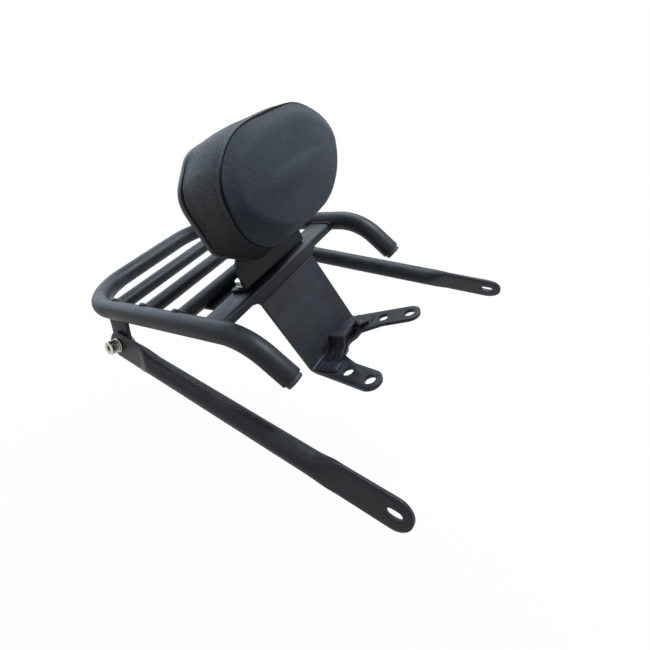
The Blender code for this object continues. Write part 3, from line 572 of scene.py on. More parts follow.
# %% Tube centreline
TUBE_R = 12.7
TUBE_BORE_R = 10.7
SIDE_X = 130.0
REAR_Y = 286.0
CORNER_R = 76.0
HORN_START_Y = -8.5
HORN_R = 70.0
HORN_ANGLE = 48.0
HORN_STRAIGHT = 32.0
TUBE_SIDES = 56


def loop_centreline(step=3.0):
    """Points from the left horn round the rear to the right horn."""
    lean = radians(HORN_ANGLE)

    def horn(x):
        points = []
        steps = ceil(HORN_ANGLE / step)
        for k in range(steps + 1):
            angle = lean * k / steps
            points.append(Vector((x, HORN_START_Y - HORN_R * sin(angle), HORN_R * (cos(angle) - 1))))
        for run in (10.0, HORN_STRAIGHT - 1.2, HORN_STRAIGHT - 0.4, HORN_STRAIGHT):
            points.append(points[steps] + Vector((0, -cos(lean), -sin(lean))) * run)
        return points

    def corner(side):
        steps = ceil(90 / step)
        return [Vector((side * (SIDE_X - CORNER_R + CORNER_R * cos(radians(90) * k / steps)),
                        REAR_Y - CORNER_R + CORNER_R * sin(radians(90) * k / steps), 0))
                for k in range(steps + 1)]

    return horn(-SIDE_X)[::-1] + corner(LEFT) + corner(RIGHT)[::-1] + horn(SIDE_X)


def carried_rings(path, radii, sides=TUBE_SIDES):
    """Rings square to a path, one radius for each point."""
    rings = []
    normal = Vector((1, 0, 0))
    for k, point in enumerate(path):
        tangent = (path[min(len(path) - 1, k + 1)] - path[max(0, k - 1)]).normalized()
        if normal.cross(tangent).length < 1e-3:
            normal = Vector((0, 0, 1))
        normal = (normal - tangent * normal.dot(tangent)).normalized()
        across = tangent.cross(normal)
        rings.append(ring_round(point, normal, across, radii[k], sides))
    return rings


print("bend of", CORNER_R, "mm radius at the rear and", HORN_R, "mm at the horns")


# %% Bent tube
def make_loop_tube():
    path = loop_centreline()
    outer = [TUBE_R] * len(path)
    outer[0] = outer[-1] = TUBE_R - 0.7
    outer[1] = outer[-2] = TUBE_R - 0.15
    inner = [TUBE_BORE_R] * len(path)
    inner[0] = inner[-1] = TUBE_BORE_R + 0.3
    builder = bmesh.new()
    outside, bore = [[[builder.verts.new(point) for point in ring]
                      for ring in carried_rings(path, radii)] for radii in (outer, inner)]
    for rows in (outside, bore):
        for near, far in zip(rows, rows[1:]):
            join_rows(builder, near, far)
    for end in (0, -1):
        join_rows(builder, outside[end], bore[end])
    return add_piece("bent_tube", builder, LEVEL, satin_coat,
                     stands_for=["rack_loop_tube"], sharp=50.0)


bent_tube = make_loop_tube()
print("bent tube:", len(bent_tube.data.vertices), "points")

# %% [markdown]
# ## Cross tubes and their welds
# Each thinner tube is coped, which means its end is cut to the round of the tube it meets. The place
# of that cut follows from two circles, so the end ring is worked out and no cutting is needed. The
# weld is a thin roll laid along the same line, uneven as a hand-laid bead is.

# %% Cross tubes
CROSS_R = 9.5
CROSS_ROWS = {"front": 71.0, "middle": 136.0, "rear": 201.0}


def coped_x(z, gap=0.0):
    """Distance from the middle at which a bar meets the side tube, at a height."""
    return SIDE_X - sqrt(max(0.0, (TUBE_R + gap) ** 2 - z * z))


def make_cross_tube(label, y, sides=44):
    rings = []
    for share in (-1.0, -0.6, 0.0, 0.6, 1.0):
        ring = []
        for k in range(sides):
            angle = 2 * pi * k / sides
            height = CROSS_R * sin(angle)
            ring.append((share * coped_x(height, -0.4), y + CROSS_R * cos(angle), height))
        rings.append(ring)
    return add_piece(f"cross_bar_{label}", skin(rings), LEVEL, satin_coat,
                     stands_for=[f"cross_tube_{label}"], sharp=60.0)


# %% Weld beads
def bead(points, radius, closed=False, ripple=1.9, seed=0.0, sides=12):
    """A weld bead along points, thick and thin by turns."""
    path = [Vector(point) for point in points]
    count = len(path)
    rings = []
    run = 0.0
    normal = Vector((0.3, 0.2, 0.93)).normalized()
    for k, point in enumerate(path):
        ahead = path[(k + 1) % count] if closed or k < count - 1 else point
        behind = path[k - 1] if closed or k > 0 else point
        tangent = (ahead - behind).normalized()
        run += (point - path[k - 1]).length if k else 0.0
        normal = (normal - tangent * normal.dot(tangent)).normalized()
        across = tangent.cross(normal)
        swell = 1.0 + 0.035 * sin(2 * pi * run / ripple) \
            + 0.12 * noise.noise(Vector((run * 0.12, seed, 0.0)))
        if not closed:
            edge = min(k, count - 1 - k) / 3.0
            swell *= min(1.0, 0.35 + 0.65 * edge)
        rings.append(ring_round(point, normal, across, radius * swell, sides))
    if not closed:
        return skin(rings)
    builder = skin(rings, "open")
    verts = list(builder.verts)
    first_row, last_row = verts[:sides], verts[-sides:]
    offset = min(range(sides), key=lambda s: (last_row[0].co - first_row[s].co).length)
    join_rows(builder, last_row, first_row[offset:] + first_row[:offset])
    return builder


def add_weld(name, points, radius, closed=False, seed=0.0):
    return add_piece(name, bead(points, radius, closed, seed=seed), LEVEL, weld_coat,
                     sharp=80.0)


BAR_WELD_PIECES = 72
for row_number, (label, y) in enumerate(CROSS_ROWS.items()):
    make_cross_tube(label, y)
    for side in (LEFT, RIGHT):
        ring = []
        for k in range(BAR_WELD_PIECES):
            forward, height, _ = polar(CROSS_R + 0.3, 0.0, k, BAR_WELD_PIECES)
            ring.append((side * (coped_x(height) + 0.6), y + forward, height))
        add_weld(f"bar_weld_{label}_{SIDES[side]}", ring, 3.8, closed=True,
                 seed=row_number * 3.1 + side)
print("cross bars meet the sides", round(coped_x(0.0), 2), "mm from the middle")

# %% [markdown]
# ## Folded and flat plates
# The plates have the right outline in the solid model, but knife-sharp edges. Real laser-cut steel
# has its edges tumbled and then rounded by the coat, and that thin bright line along each edge is
# most of what tells the eye that it is thick steel. So each plate is copied, its flat faces are
# joined, and every sharp edge is bevelled.


# %% Softened plates
def softened(node, name, width, material=satin_coat, segments=3):
    """A copy of a solid whose sharp edges are rounded."""
    builder = bmesh.new()
    builder.from_mesh(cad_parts[node].data)
    bmesh.ops.scale(builder, vec=(1000, 1000, 1000), verts=builder.verts)
    bmesh.ops.remove_doubles(builder, verts=builder.verts, dist=0.002)
    bmesh.ops.dissolve_limit(builder, angle_limit=radians(0.6), verts=builder.verts,
                             edges=builder.edges)
    edges = [edge for edge in builder.edges
             if edge.is_manifold and edge.calc_face_angle(0.0) > radians(40)]
    bmesh.ops.bevel(builder, geom=edges, offset=width, offset_type="OFFSET", segments=segments,
                    profile=0.5, affect="EDGES", clamp_overlap=True)
    return add_piece(name, builder, Matrix.Identity(4), material, stands_for=[node],
                     sharp=35.0)


softened("cross_angle", "front_angle", 0.8)
softened("deck_stiffener", "stiffener_bar", 0.7)
softened("seat_bracket", "fork_plate", 0.8)
softened("seat_bridge", "fork_bridge", 0.6)
softened("backrest_bracket", "upright_plate", 0.7)
for side_name in SIDES.values():
    softened(f"stay_ear_{side_name}", f"ear_{side_name}", 0.8)
print("plates softened")

# %% [markdown]
# ## The pinched stays
# Each stay is one tube, pressed flat at both ends. The press leaves a crease where the flat begins
# and a cone that opens into the round tube. Its section therefore runs from a thin rounded bar to a
# circle, and the edges bulge as the tube is squeezed. The bolt hole and the slot are cut after.

# %% Stay measures
# the tab leans by its tilt, and hangs from the tube by its inset and its drop
EAR_TILT = 21.0
EAR_Y = 207.0
EAR_INSET = 6.3
EAR_DROP = 50.5
EAR_THICK = 5.0
SEAT_GAP = 0.3
STAY_R = 12.7
STAY_LENGTH = 417.5
STAY_DIP = 12.8
FLAT_THICK = 5.5
FLAT_HALF = 18.5
REAR_FLAT = 46.0
FRONT_FLAT = 58.0
TAPER = 34.0
SLOT_LENGTH = 17.0
HOLE_R = 5.5


def clamp_frame(side):
    """Frame on the ear's middle plane at the clamp bolt: X to the front, Z outward."""
    tilt = radians(EAR_TILT)
    outward = Vector((side * cos(tilt), 0, sin(tilt)))
    down = Vector((side * sin(tilt), 0, -cos(tilt)))
    origin = Vector((side * SIDE_X, EAR_Y, 0)) - outward * EAR_INSET + down * EAR_DROP
    forward = Vector((0, -1, 0))
    return deck_frame(origin, forward, outward.cross(forward), outward)


def stay_section(x):
    """Half width, half thickness and squareness of the pinched tube along its length."""
    front = STAY_LENGTH - x
    along = min(1.0, max(0.0, min((x - REAR_FLAT) / TAPER, (front - FRONT_FLAT) / TAPER)))
    wide = along * along * (3 - 2 * along)
    thick = sin(pi / 2 * along)
    half = FLAT_HALF + (STAY_R - FLAT_HALF) * wide
    depth = FLAT_THICK / 2 + (STAY_R - FLAT_THICK / 2) * (0.45 * thick + 0.55 * wide)
    power = 2.0 + 4.0 * (1 - along) ** 2
    if x < 0:
        half = min(half, sqrt(max(0.0, FLAT_HALF ** 2 - x ** 2)))
    if front < 0:
        half = min(half, sqrt(max(0.0, FLAT_HALF ** 2 - front ** 2)))
    return half, depth, power


print("stays", STAY_LENGTH, "mm from hole to slot")


# %% Stay shape
def stay_stations():
    """Places along the stay where its section is drawn, close together where it changes."""
    rear = [-FLAT_HALF * cos(radians(6 + 6 * k)) for k in range(14)]
    cone = [REAR_FLAT + TAPER * k / 16 for k in range(17)]
    tube = [REAR_FLAT + TAPER + (STAY_LENGTH - FRONT_FLAT - REAR_FLAT - 2 * TAPER) * k / 8
            for k in range(1, 8)]
    cone_front = [STAY_LENGTH - FRONT_FLAT - TAPER * (1 - k / 16) for k in range(17)]
    nose = [STAY_LENGTH + FLAT_HALF * cos(radians(90 - 6 * k)) for k in range(0, 15)]
    return rear + cone + tube + cone_front + nose


def make_stay_body(sides=56):
    """The pinched tube without its holes, along X from the clamp bolt."""
    rings = []
    for x in stay_stations():
        half, depth, power = stay_section(x)
        ring = []
        for k in range(sides):
            angle = 2 * pi * (k + 0.5) / sides
            c, s = cos(angle), sin(angle)
            stretch = (abs(c) ** power + abs(s) ** power) ** (-1 / power)
            ring.append((x, half * c * stretch, depth * s * stretch))
        rings.append(ring)
    return skin(rings)


# %% Holes of the stays
def slot_outline(half_run, radius, pieces=20):
    """Round-ended slot along X."""
    points = []
    for middle, start in ((half_run, -pi / 2), (-half_run, pi / 2)):
        for k in range(pieces + 1):
            angle = start + pi * k / pieces
            points.append((middle + radius * cos(angle), radius * sin(angle)))
    return points


def waisted_cutter(half_run, half_thick, ease=0.7):
    """Cutter for a hole or a slot that flares at both faces, which eases its edges."""
    upper = [(half_thick - ease, 0.0), (half_thick - ease * 0.4, 0.25), (half_thick + 0.01, ease),
             (half_thick + 3, ease)]
    levels = [(-z, grow) for z, grow in upper[::-1]] + upper
    return skin([[(x, y, z) for x, y in slot_outline(half_run, HOLE_R + grow)]
                 for z, grow in levels])


def cut_piece(piece, builder, placement):
    """Cut a drawn solid out of a finished piece and keep the result as its mesh."""
    bmesh.ops.recalc_face_normals(builder, faces=builder.faces)
    mesh = as_mesh(builder, "cutter")
    mesh.transform(placement @ Matrix.Scale(MM, 4))
    cutter = put_in_scene("cutter", mesh)
    modifier = piece.modifiers.new("cut", "BOOLEAN")
    modifier.operation = "DIFFERENCE"
    modifier.solver = "EXACT"
    modifier.object = cutter
    bpy.context.view_layer.update()
    graph = bpy.context.evaluated_depsgraph_get()
    result = bpy.data.meshes.new_from_object(piece.evaluated_get(graph))
    piece.modifiers.clear()
    old = piece.data
    piece.data = result
    bpy.data.meshes.remove(old)
    bpy.data.objects.remove(cutter)
    bpy.data.meshes.remove(mesh)


# %% Stays in place
for side in (LEFT, RIGHT):
    lift = EAR_THICK / 2 + SEAT_GAP + FLAT_THICK / 2
    placement = clamp_frame(side) @ shift(0, 0, lift) @ Matrix.Rotation(side * radians(STAY_DIP), 4, "Z")
    stay = add_piece(f"pinched_stay_{SIDES[side]}", make_stay_body(), placement, satin_coat,
                     body=f"stay_{SIDES[side]}_arm", stands_for=[f"stay_{SIDES[side]}"], sharp=42.0)
    cut_piece(stay, waisted_cutter(0.0, FLAT_THICK / 2), placement)
    cut_piece(stay, waisted_cutter(SLOT_LENGTH / 2 - HOLE_R, FLAT_THICK / 2),
              placement @ shift(STAY_LENGTH, 0, 0))
    print(stay.name, len(stay.data.vertices), "points")

# %% [markdown]
# ## Bolts, nuts and washers
# Small bright fasteners are easy to get wrong. A cap screw has a knurled head with a hexagon socket
# and a chamfer. A nut's corners are turned off at both faces, which leaves curved chamfer lines, so
# each of its points takes its height from its distance to the axis. Threads show past the nuts and
# are drawn as a real screw surface.


# %% Hexagon bodies
def hex_radius(angle, flats):
    """Distance from the axis to the side of a hexagon."""
    turn = (angle + pi / 6) % (pi / 3) - pi / 6
    return flats / 2 / cos(turn)


def make_hex(flats, height, bore=0.0, low_cone=True, sides=96):
    """Hexagon body from height zero up, its corners turned off, with or without a bore."""
    rim = flats / 2 * 0.97
    slope = tan(radians(28))
    chamfer = 0.7

    def round_ring(radius, z):
        return [polar(radius, z, k, sides) for k in range(sides)]

    def corner_ring(z, direction):
        """The hexagon's outline, turned off more and more towards its corners."""
        radii = [hex_radius(2 * pi * k / sides, flats) for k in range(sides)]
        return [polar(radius, z + direction * max(0.0, radius - rim) * slope, k, sides)
                for k, radius in enumerate(radii)]

    inner = bore + chamfer if bore else 0.001
    rings = [round_ring(bore, height - chamfer), round_ring(bore, chamfer)] if bore else []
    rings += [round_ring(inner, 0.0), round_ring(rim, 0.0), corner_ring(0.02, float(low_cone)),
              corner_ring(height - 0.02, -1.0), round_ring(rim, height), round_ring(inner, height)]
    return skin(rings, "joined" if bore else "capped")


# %% Threads and cap heads
def make_thread(radius, pitch, low, high, sides=40):
    """Threaded end of a shank between two heights, with a chamfered tip at the low one."""
    depth = 0.61 * pitch * 0.8
    steps = max(4, ceil((high - low) / pitch * 10))
    rings = []
    for step in range(steps + 1):
        z = low + (high - low) * step / steps
        tip = max(0.0, 1.0 - (z - low) / 1.4) * 1.1
        ring = []
        for k in range(sides):
            bite = abs(2 * ((z / pitch + k / sides) % 1.0) - 1)
            reach = min(radius - depth * (1 - bite) ** 1.2, radius - tip)
            ring.append(polar(reach, z, k, sides))
        rings.append(ring)
    return skin(rings)


def make_cap_head(head_r, height, socket_flats, knurls=36):
    """Head of a cap screw from height zero up: knurled side, chamfer, hexagon socket."""
    sides = knurls * 4
    floor = height * 0.5

    def ring(radius, z, knurl=0.0):
        return [polar(radius - knurl * (k % 4 in (1, 2)), z, k, sides) for k in range(sides)]

    def socket(grow, z):
        return [polar(hex_radius(2 * pi * k / sides, socket_flats) * grow, z, k, sides)
                for k in range(sides)]

    rings = [ring(head_r - 0.5, 0.0), ring(head_r, 0.4), ring(head_r, 0.9),
             ring(head_r, 1.2, 0.28), ring(head_r, height - 1.9, 0.28), ring(head_r, height - 1.6),
             ring(head_r, height - 1.0), ring(head_r - 0.35, height - 0.4),
             ring(head_r - 0.95, height - 0.05), ring(head_r - 1.3, height),
             ring(socket_flats / 2 / cos(pi / 6) + 0.55, height),
             socket(1.03, height - 0.5), socket(1.0, height - 0.8), socket(1.0, height - floor),
             ring(socket_flats * 0.25, height - floor - 1.0), ring(0.05, height - floor - 1.6)]
    return skin(rings)


# %% Washers, and joining two shells
def rounded_washer(outer_r, hole_r, thick, ease=0.35):
    return turned([(hole_r, ease), (hole_r, thick - ease), (hole_r + ease, thick),
                   (outer_r - ease, thick), (outer_r, thick - ease), (outer_r, ease),
                   (outer_r - ease, 0.0), (hole_r + ease, 0.0)], 72)


def add_to(builder, other):
    """Put the faces of another builder into this one, as a second closed shell."""
    mesh = as_mesh(other, "joined")
    builder.from_mesh(mesh)
    bpy.data.meshes.remove(mesh)
    return builder


# %% Clamp bolts of the stays
WASHER_THICK = 2.0
THREAD_PAST_NUT = 3.0
CLAMP_HEAD_R, CLAMP_HEAD_HEIGHT, CLAMP_SOCKET = 9.2, 11.8, 8.0
CLAMP_NUT_FLATS, CLAMP_NUT_HEIGHT = 16.0, 8.0
for side in (LEFT, RIGHT):
    label = SIDES[side]
    base = clamp_frame(side)
    washer_seat = EAR_THICK / 2 + 2 * SEAT_GAP + FLAT_THICK
    bolt_seat = washer_seat + WASHER_THICK + SEAT_GAP
    nut_seat = -EAR_THICK / 2 - SEAT_GAP
    shank = bolt_seat - nut_seat + CLAMP_NUT_HEIGHT + THREAD_PAST_NUT
    add_piece(f"clamp_washer_{label}", rounded_washer(10.0, 5.3, WASHER_THICK),
              base @ shift(0, 0, washer_seat), plated_steel,
              stands_for=[f"stay_washer_{label}"], sharp=50.0)
    bolt = make_thread(5.0, 1.5, -shank, 0.2)
    add_to(bolt, make_cap_head(CLAMP_HEAD_R, CLAMP_HEAD_HEIGHT, CLAMP_SOCKET))
    add_piece(f"clamp_screw_{label}", bolt, base @ shift(0, 0, bolt_seat), plated_steel,
              stands_for=[f"stay_bolt_{label}"], sharp=38.0)
    add_piece(f"clamp_nut_{label}", make_hex(CLAMP_NUT_FLATS, CLAMP_NUT_HEIGHT, 5.1),
              base @ shift(0, 0, nut_seat - CLAMP_NUT_HEIGHT)
              @ Matrix.Rotation(radians(30), 4, "Z"),
              plated_steel, stands_for=[f"stay_nut_{label}"], sharp=30.0)
print("clamp bolts", round(shank + CLAMP_HEAD_HEIGHT, 1), "mm long over all")

# %% Bolts of the upright's foot
ANGLE_TOP_Z = 2.3
REST_FRONT_Y = 11.0
REST_THICK = 4.0
ANGLE_THICK = 4.0
FOOT_BOLT_X = 55.0
FOOT_BOLT_Y = REST_FRONT_Y + 5.0 + SEAT_GAP + 7.5
FOOT_FLATS, FOOT_HEAD_HEIGHT, FOOT_NUT_HEIGHT = 13.0, 6.0, 6.5
for side in (LEFT, RIGHT):
    label = SIDES[side]
    washer_seat = ANGLE_TOP_Z + SEAT_GAP + REST_THICK + SEAT_GAP
    head_seat = washer_seat + WASHER_THICK + SEAT_GAP
    nut_top = ANGLE_TOP_Z - ANGLE_THICK - SEAT_GAP
    shank = head_seat - nut_top + FOOT_NUT_HEIGHT + THREAD_PAST_NUT
    here = LEVEL @ shift(side * FOOT_BOLT_X, FOOT_BOLT_Y, 0)
    add_piece(f"foot_washer_{label}", rounded_washer(7.5, 4.3, WASHER_THICK),
              here @ shift(0, 0, washer_seat), plated_steel,
              stands_for=[f"rest_washer_{label}"], sharp=50.0)
    bolt = make_thread(4.0, 1.25, -shank, 0.2)
    add_to(bolt, make_hex(FOOT_FLATS, FOOT_HEAD_HEIGHT, low_cone=False))
    add_piece(f"foot_bolt_{label}", bolt, here @ shift(0, 0, head_seat), plated_steel,
              stands_for=[f"rest_bolt_{label}"], sharp=30.0)
    add_piece(f"foot_nut_{label}", make_hex(FOOT_FLATS, FOOT_NUT_HEIGHT, 4.1),
              here @ shift(0, 0, nut_top - FOOT_NUT_HEIGHT) @ Matrix.Rotation(radians(30), 4, "Z"),
              plated_steel, stands_for=[f"rest_nut_{label}"], sharp=30.0)
print("foot bolts", round(shank + FOOT_HEAD_HEIGHT, 1), "mm long over all")

# %% [markdown]
# ## The backrest
# The pad is made in three layers: a moulded back shell, a thin dark groove where the cover is tucked
# in, and the foam cushion. Each outline has eight corners, wide in the middle and narrower at the
# top and the chin, and grows from the shell's shape to the larger one of the seam. It could be drawn
# as a curve by hand. Numbers for its corners are easier to fit to a photo, and smoothing by waves
# rounds them without making the outline smaller. It is sampled evenly by length, so the rings of
# every layer line up.

# %% Pad measures
REST_LEAN = 8.0
SHELL_DEPTH = 8.0
SEAM_DEPTH = 78.0
PAD_DEPTH = 98.5
# half width, the heights of the widest place, the top, the chin and the bottom,
# half of the top edge, half of the bottom edge and how far the chin is drawn in
SHELL_SHAPE = np.array([88.0, 124.0, 157.0, 58.0, 27.5, 49.0, 38.0, 5.0])
SEAM_SHAPE = np.array([100.3, 120.6, 159.9, 79.2, 46.6, 52.5, 51.0, 10.5])
SHELL_RADII = np.array([32.0, 32.0, 20.0, 22.0])
SEAM_RADII = np.array([50.0, 58.0, 38.0, 40.0])


def rest_frame():
    """Frame on the upright's front face: X across, Y up the face, Z out of it."""
    lean = radians(REST_LEAN)
    up = Vector((0, sin(lean), cos(lean)))
    out = Vector((0, -cos(lean), sin(lean)))
    return deck_frame((0, REST_FRONT_Y, ANGLE_TOP_Z + SEAT_GAP), Vector((1, 0, 0)), up, out)


print("pad", 2 * SEAM_SHAPE[0], "mm wide and", PAD_DEPTH, "mm deep")


# %% Pad outline
def filleted(corners, pieces=14):
    """Closed outline with its corners rounded; corners are (x, y, radius)."""
    points = []
    for k, (x, y, radius) in enumerate(corners):
        before = Vector(corners[k - 1][:2])
        after = Vector(corners[(k + 1) % len(corners)][:2])
        corner = Vector((x, y))
        entry = (before - corner).normalized()
        leave = (after - corner).normalized()
        half = acos(max(-1.0, min(1.0, entry.dot(leave)))) / 2
        reach = min(radius / tan(half), 0.49 * (before - corner).length,
                    0.49 * (after - corner).length)
        real = reach * tan(half)
        centre = corner + (entry + leave).normalized() * real / sin(half)
        start = corner + entry * reach - centre
        sweep = start.angle_signed(corner + leave * reach - centre)
        for piece in range(pieces + 1):
            turn = -sweep * piece / pieces
            points.append((centre.x + start.x * cos(turn) - start.y * sin(turn),
                           centre.y + start.x * sin(turn) + start.y * cos(turn)))
    return points


SHELL_SOFTNESS = 2.5
SEAM_SOFTNESS = 15.0


def rounder(points, spread, length):
    """Smooth a closed outline, then give it back its old width and height."""
    waves = np.fft.fft(points[:, 0] + 1j * points[:, 1])
    number = np.fft.fftfreq(len(points), 1 / len(points))
    waves *= np.exp(-0.5 * (2 * pi * number * spread / length) ** 2)
    turned_back = np.fft.ifft(waves)
    smooth = np.column_stack([turned_back.real, turned_back.imag])
    for axis in (0, 1):
        old, new = points[:, axis], smooth[:, axis].copy()
        smooth[:, axis] = old.min() + (new - new.min()) * np.ptp(old) / np.ptp(new)
    return smooth


def even_outline(share, inset, count):
    """The pad's outline as evenly spaced points; share runs from the shell to the seam."""
    shape = SHELL_SHAPE + (SEAM_SHAPE - SHELL_SHAPE) * share
    wide, widest, top, chin, bottom, top_half, chin_half, chin_in = shape
    radii = SHELL_RADII + (SEAM_RADII - SHELL_RADII) * share
    half = [(top_half, top), (wide, widest), (wide - chin_in, chin), (chin_half, bottom)]
    middle = (top + bottom) / 2
    share_x = 1 - inset / wide
    share_y = 1 - inset / ((top - bottom) / 2)
    right = [(x * share_x, middle + (y - middle) * share_y, r) for (x, y), r in zip(half, radii)]
    corners = right + [(-x, y, r) for x, y, r in right[::-1]]
    loop = np.array([(0.0, middle + (top - middle) * share_y)] + filleted(corners))
    loop = np.vstack([loop, loop[:1]])
    steps = np.hypot(*np.diff(loop, axis=0).T)
    run = np.concatenate([[0.0], np.cumsum(steps)])
    at = np.arange(count) / count * run[-1]
    points = np.column_stack([np.interp(at, run, loop[:, 0]), np.interp(at, run, loop[:, 1])])
    return rounder(points, SHELL_SOFTNESS + SEAM_SOFTNESS * share, run[-1])


# %% Shell and groove
def pad_rings(start, profile, count=240):
    """Rings at depths from a start, each drawn in from the shell's outline by its inset."""
    return [[(x, y, start + depth) for x, y in even_outline(0.0, inset, count)]
            for depth, inset in profile]


shell_profile = [(0.0, 3.4), (0.25, 2.4), (0.9, 1.2), (2.0, 0.4), (3.4, 0.0),
                 (SHELL_DEPTH - 1.2, 0.0), (SHELL_DEPTH - 0.3, 0.25), (SHELL_DEPTH, 0.9)]
add_piece("back_shell", skin(pad_rings(SEAT_GAP, shell_profile)), rest_frame(), shell_plastic,
          stands_for=["pad_shell"], sharp=50.0)
groove_profile = [(-0.2, 2.2), (1.2, 2.5), (3.0, 2.2)]
# The groove's strip is partly real rubber and partly painted shade of the tuck gap.
add_piece("tuck_groove", skin(pad_rings(SEAT_GAP + SHELL_DEPTH, groove_profile)), rest_frame(),
          strip_rubber_and_shade, stands_for=["pad_edge_strip"], sharp=50.0)
print("shell", SHELL_DEPTH, "mm deep, with a groove before it")

# %% [markdown]
# ## The cushion
# The cover is a side band sewn to a front panel over moulded foam. The seam runs back under the
# chin. In front of it the panel rises as a short flank and turns over a soft ridge into a low dome.
# The rings already bulge where foam pushes the band out, and Cloth with pressure, held along the
# back and the seam, then puffs them a little. Pressure alone gave sharp folds. The result moves a
# much finer mesh, which can carry the valley of the seam and the small puckers between stitches.

# %% Cushion outlines
CUSHION_LOW = SEAT_GAP + SHELL_DEPTH + SEAT_GAP + 2.2 + SEAT_GAP
TABLE_SHARES = np.linspace(0.0, 1.0, 9)
SEAM_RUN_BACK = 22.6
RUN_BACK_BELOW = 0.55
outline_tables = {}


def outline_at(shares, count):
    """Outline points, with a share of its own for each place round the pad."""
    if count not in outline_tables:
        outline_tables[count] = np.array([even_outline(share, 0.0, count)
                                          for share in TABLE_SHARES])
    table = outline_tables[count]
    at = np.clip(shares, 0.0, 1.0) * (len(TABLE_SHARES) - 1)
    low = np.minimum(at.astype(int), len(TABLE_SHARES) - 2)
    part = (at - low)[:, None]
    places = np.arange(count)
    return table[low, places] * (1 - part) + table[low + 1, places] * part


def shares_at(depths):
    """Share between shell and seam outline at each depth."""
    return np.clip((depths - CUSHION_LOW - 3) / (SEAM_DEPTH - CUSHION_LOW - 3), 0.0, 1.0)


def seam_depths(count):
    """Depth of the seam round the pad. It runs back under the chin."""
    heights = outline_at(np.ones(count), count)[:, 1]
    level = (heights - heights.min()) / np.ptp(heights)
    low = np.clip(1 - level / RUN_BACK_BELOW, 0.0, 1.0)
    return SEAM_DEPTH - SEAM_RUN_BACK * low * low * (3 - 2 * low)


print("seam from", round(float(seam_depths(96).min()), 1), "to", SEAM_DEPTH, "mm deep")


# %% Cushion profile
BAND_STEPS = 26
FRONT_STEPS = 36
SHOULDER = 20.0
SHOULDER_SHARE = 0.60
DOME = 8.0
CROWN = 80.0
# the shoulder is a run of short steps, each at its own angle from upright:
# it rises from the seam as a short flank, and turns over a soft ridge into the crown
RUN_ALONG = np.linspace(0.0, 1.0, 201)
RUN_TURN = np.interp(RUN_ALONG, [0.0, 0.15, 0.50, 1.0], [0.42, 0.74, 0.86, pi / 2 - 0.20])
SHOULDER_IN = np.concatenate([[0.0], np.cumsum(np.sin(RUN_TURN[1:]))])
SHOULDER_UP = np.concatenate([[0.0], np.cumsum(np.cos(RUN_TURN[1:]))])
INNER_INSET = 45.0
CLOSING_SHARES = (0.82, 0.62, 0.42, 0.22, 0.08)
FOAM_PUSH = 3.2
FOAM_PUSH_FROM, FOAM_PUSH_TO = 95.0, 135.0


def band_ring(row, count):
    """A ring between the groove and the seam, swollen by the foam behind it."""
    share = 1 - (1 - row / BAND_STEPS) ** 1.6
    depths = CUSHION_LOW + (seam_depths(count) - CUSHION_LOW) * share
    points = outline_at(shares_at(depths), count)
    run = np.roll(points, -1, 0) - np.roll(points, 1, 0)
    across = np.column_stack([-run[:, 1], run[:, 0]])
    across /= np.linalg.norm(across, axis=1, keepdims=True)
    if across[0, 1] < 0:
        across = -across
    high = np.clip((points[:, 1] - FOAM_PUSH_FROM) / (FOAM_PUSH_TO - FOAM_PUSH_FROM), 0.0, 1.0)
    push = FOAM_PUSH * (0.5 + 1.3 * high) * sin(pi * share) ** 0.8
    tuck = 1.6 * max(0.0, 1 - share / 0.09) ** 2
    points = points + across * (push - tuck)[:, None]
    return np.column_stack([points, depths])


def front_ring(row, count):
    """A ring from the seam over the rounded shoulder to the flat of the crown."""
    share = (row - BAND_STEPS) / FRONT_STEPS
    start = seam_depths(count)
    shapes = SHELL_SHAPE + (SEAM_SHAPE - SHELL_SHAPE) * shares_at(start)[:, None]
    rise_to = PAD_DEPTH - DOME - start
    if share <= SHOULDER_SHARE:
        along = share / SHOULDER_SHARE
        inset = SHOULDER * np.interp(along, RUN_ALONG, SHOULDER_IN / SHOULDER_IN[-1])
        rise = rise_to * np.interp(along, RUN_ALONG, SHOULDER_UP / SHOULDER_UP[-1])
    else:
        over = (share - SHOULDER_SHARE) / (1 - SHOULDER_SHARE)
        inset = SHOULDER + (INNER_INSET - SHOULDER) * over
        rise = rise_to + DOME * (1 - (1 - (inset - SHOULDER) / CROWN) ** 2)
    points = outline_at(shares_at(start), count)
    middle = (shapes[:, 2] + shapes[:, 4]) / 2
    half = (shapes[:, 2] - shapes[:, 4]) / 2
    x = points[:, 0] * (1 - inset / shapes[:, 0])
    y = middle + (points[:, 1] - middle) * (1 - inset / half)
    return np.column_stack([x, y, start + rise])


# %% Rings of the cushion
def cushion_ring(row, count):
    ring = band_ring(row, count) if row <= BAND_STEPS else front_ring(row, count)
    return [Vector(point) for point in ring.tolist()]


def cushion_grid(count):
    """All rings of the cushion, ending in small ones round the middle of the crown."""
    rings = [cushion_ring(row, count) for row in range(BAND_STEPS + FRONT_STEPS + 1)]
    last = rings[-1]
    middle = sum(last, Vector()) / count
    dome_left = DOME * (1 - (INNER_INSET - SHOULDER) / CROWN) ** 2
    for share in CLOSING_SHARES:
        rings.append([middle.lerp(point, share) + Vector((0, 0, dome_left * (1 - share ** 2)))
                      for point in last])
    return rings


# %% Inflate a coarse copy
COARSE = 96
FINE = 432
PUFF_CAP = 2.5
CLOTH_SCALE = 10
CLOTH_FRAMES = 14
CLOTH_SETTINGS = {"vertex_group_mass": "held", "use_pressure": True, "uniform_pressure_force": 3.0,
                  "tension_stiffness": 40.0, "compression_stiffness": 40.0,
                  "bending_stiffness": 5.0, "quality": 6}


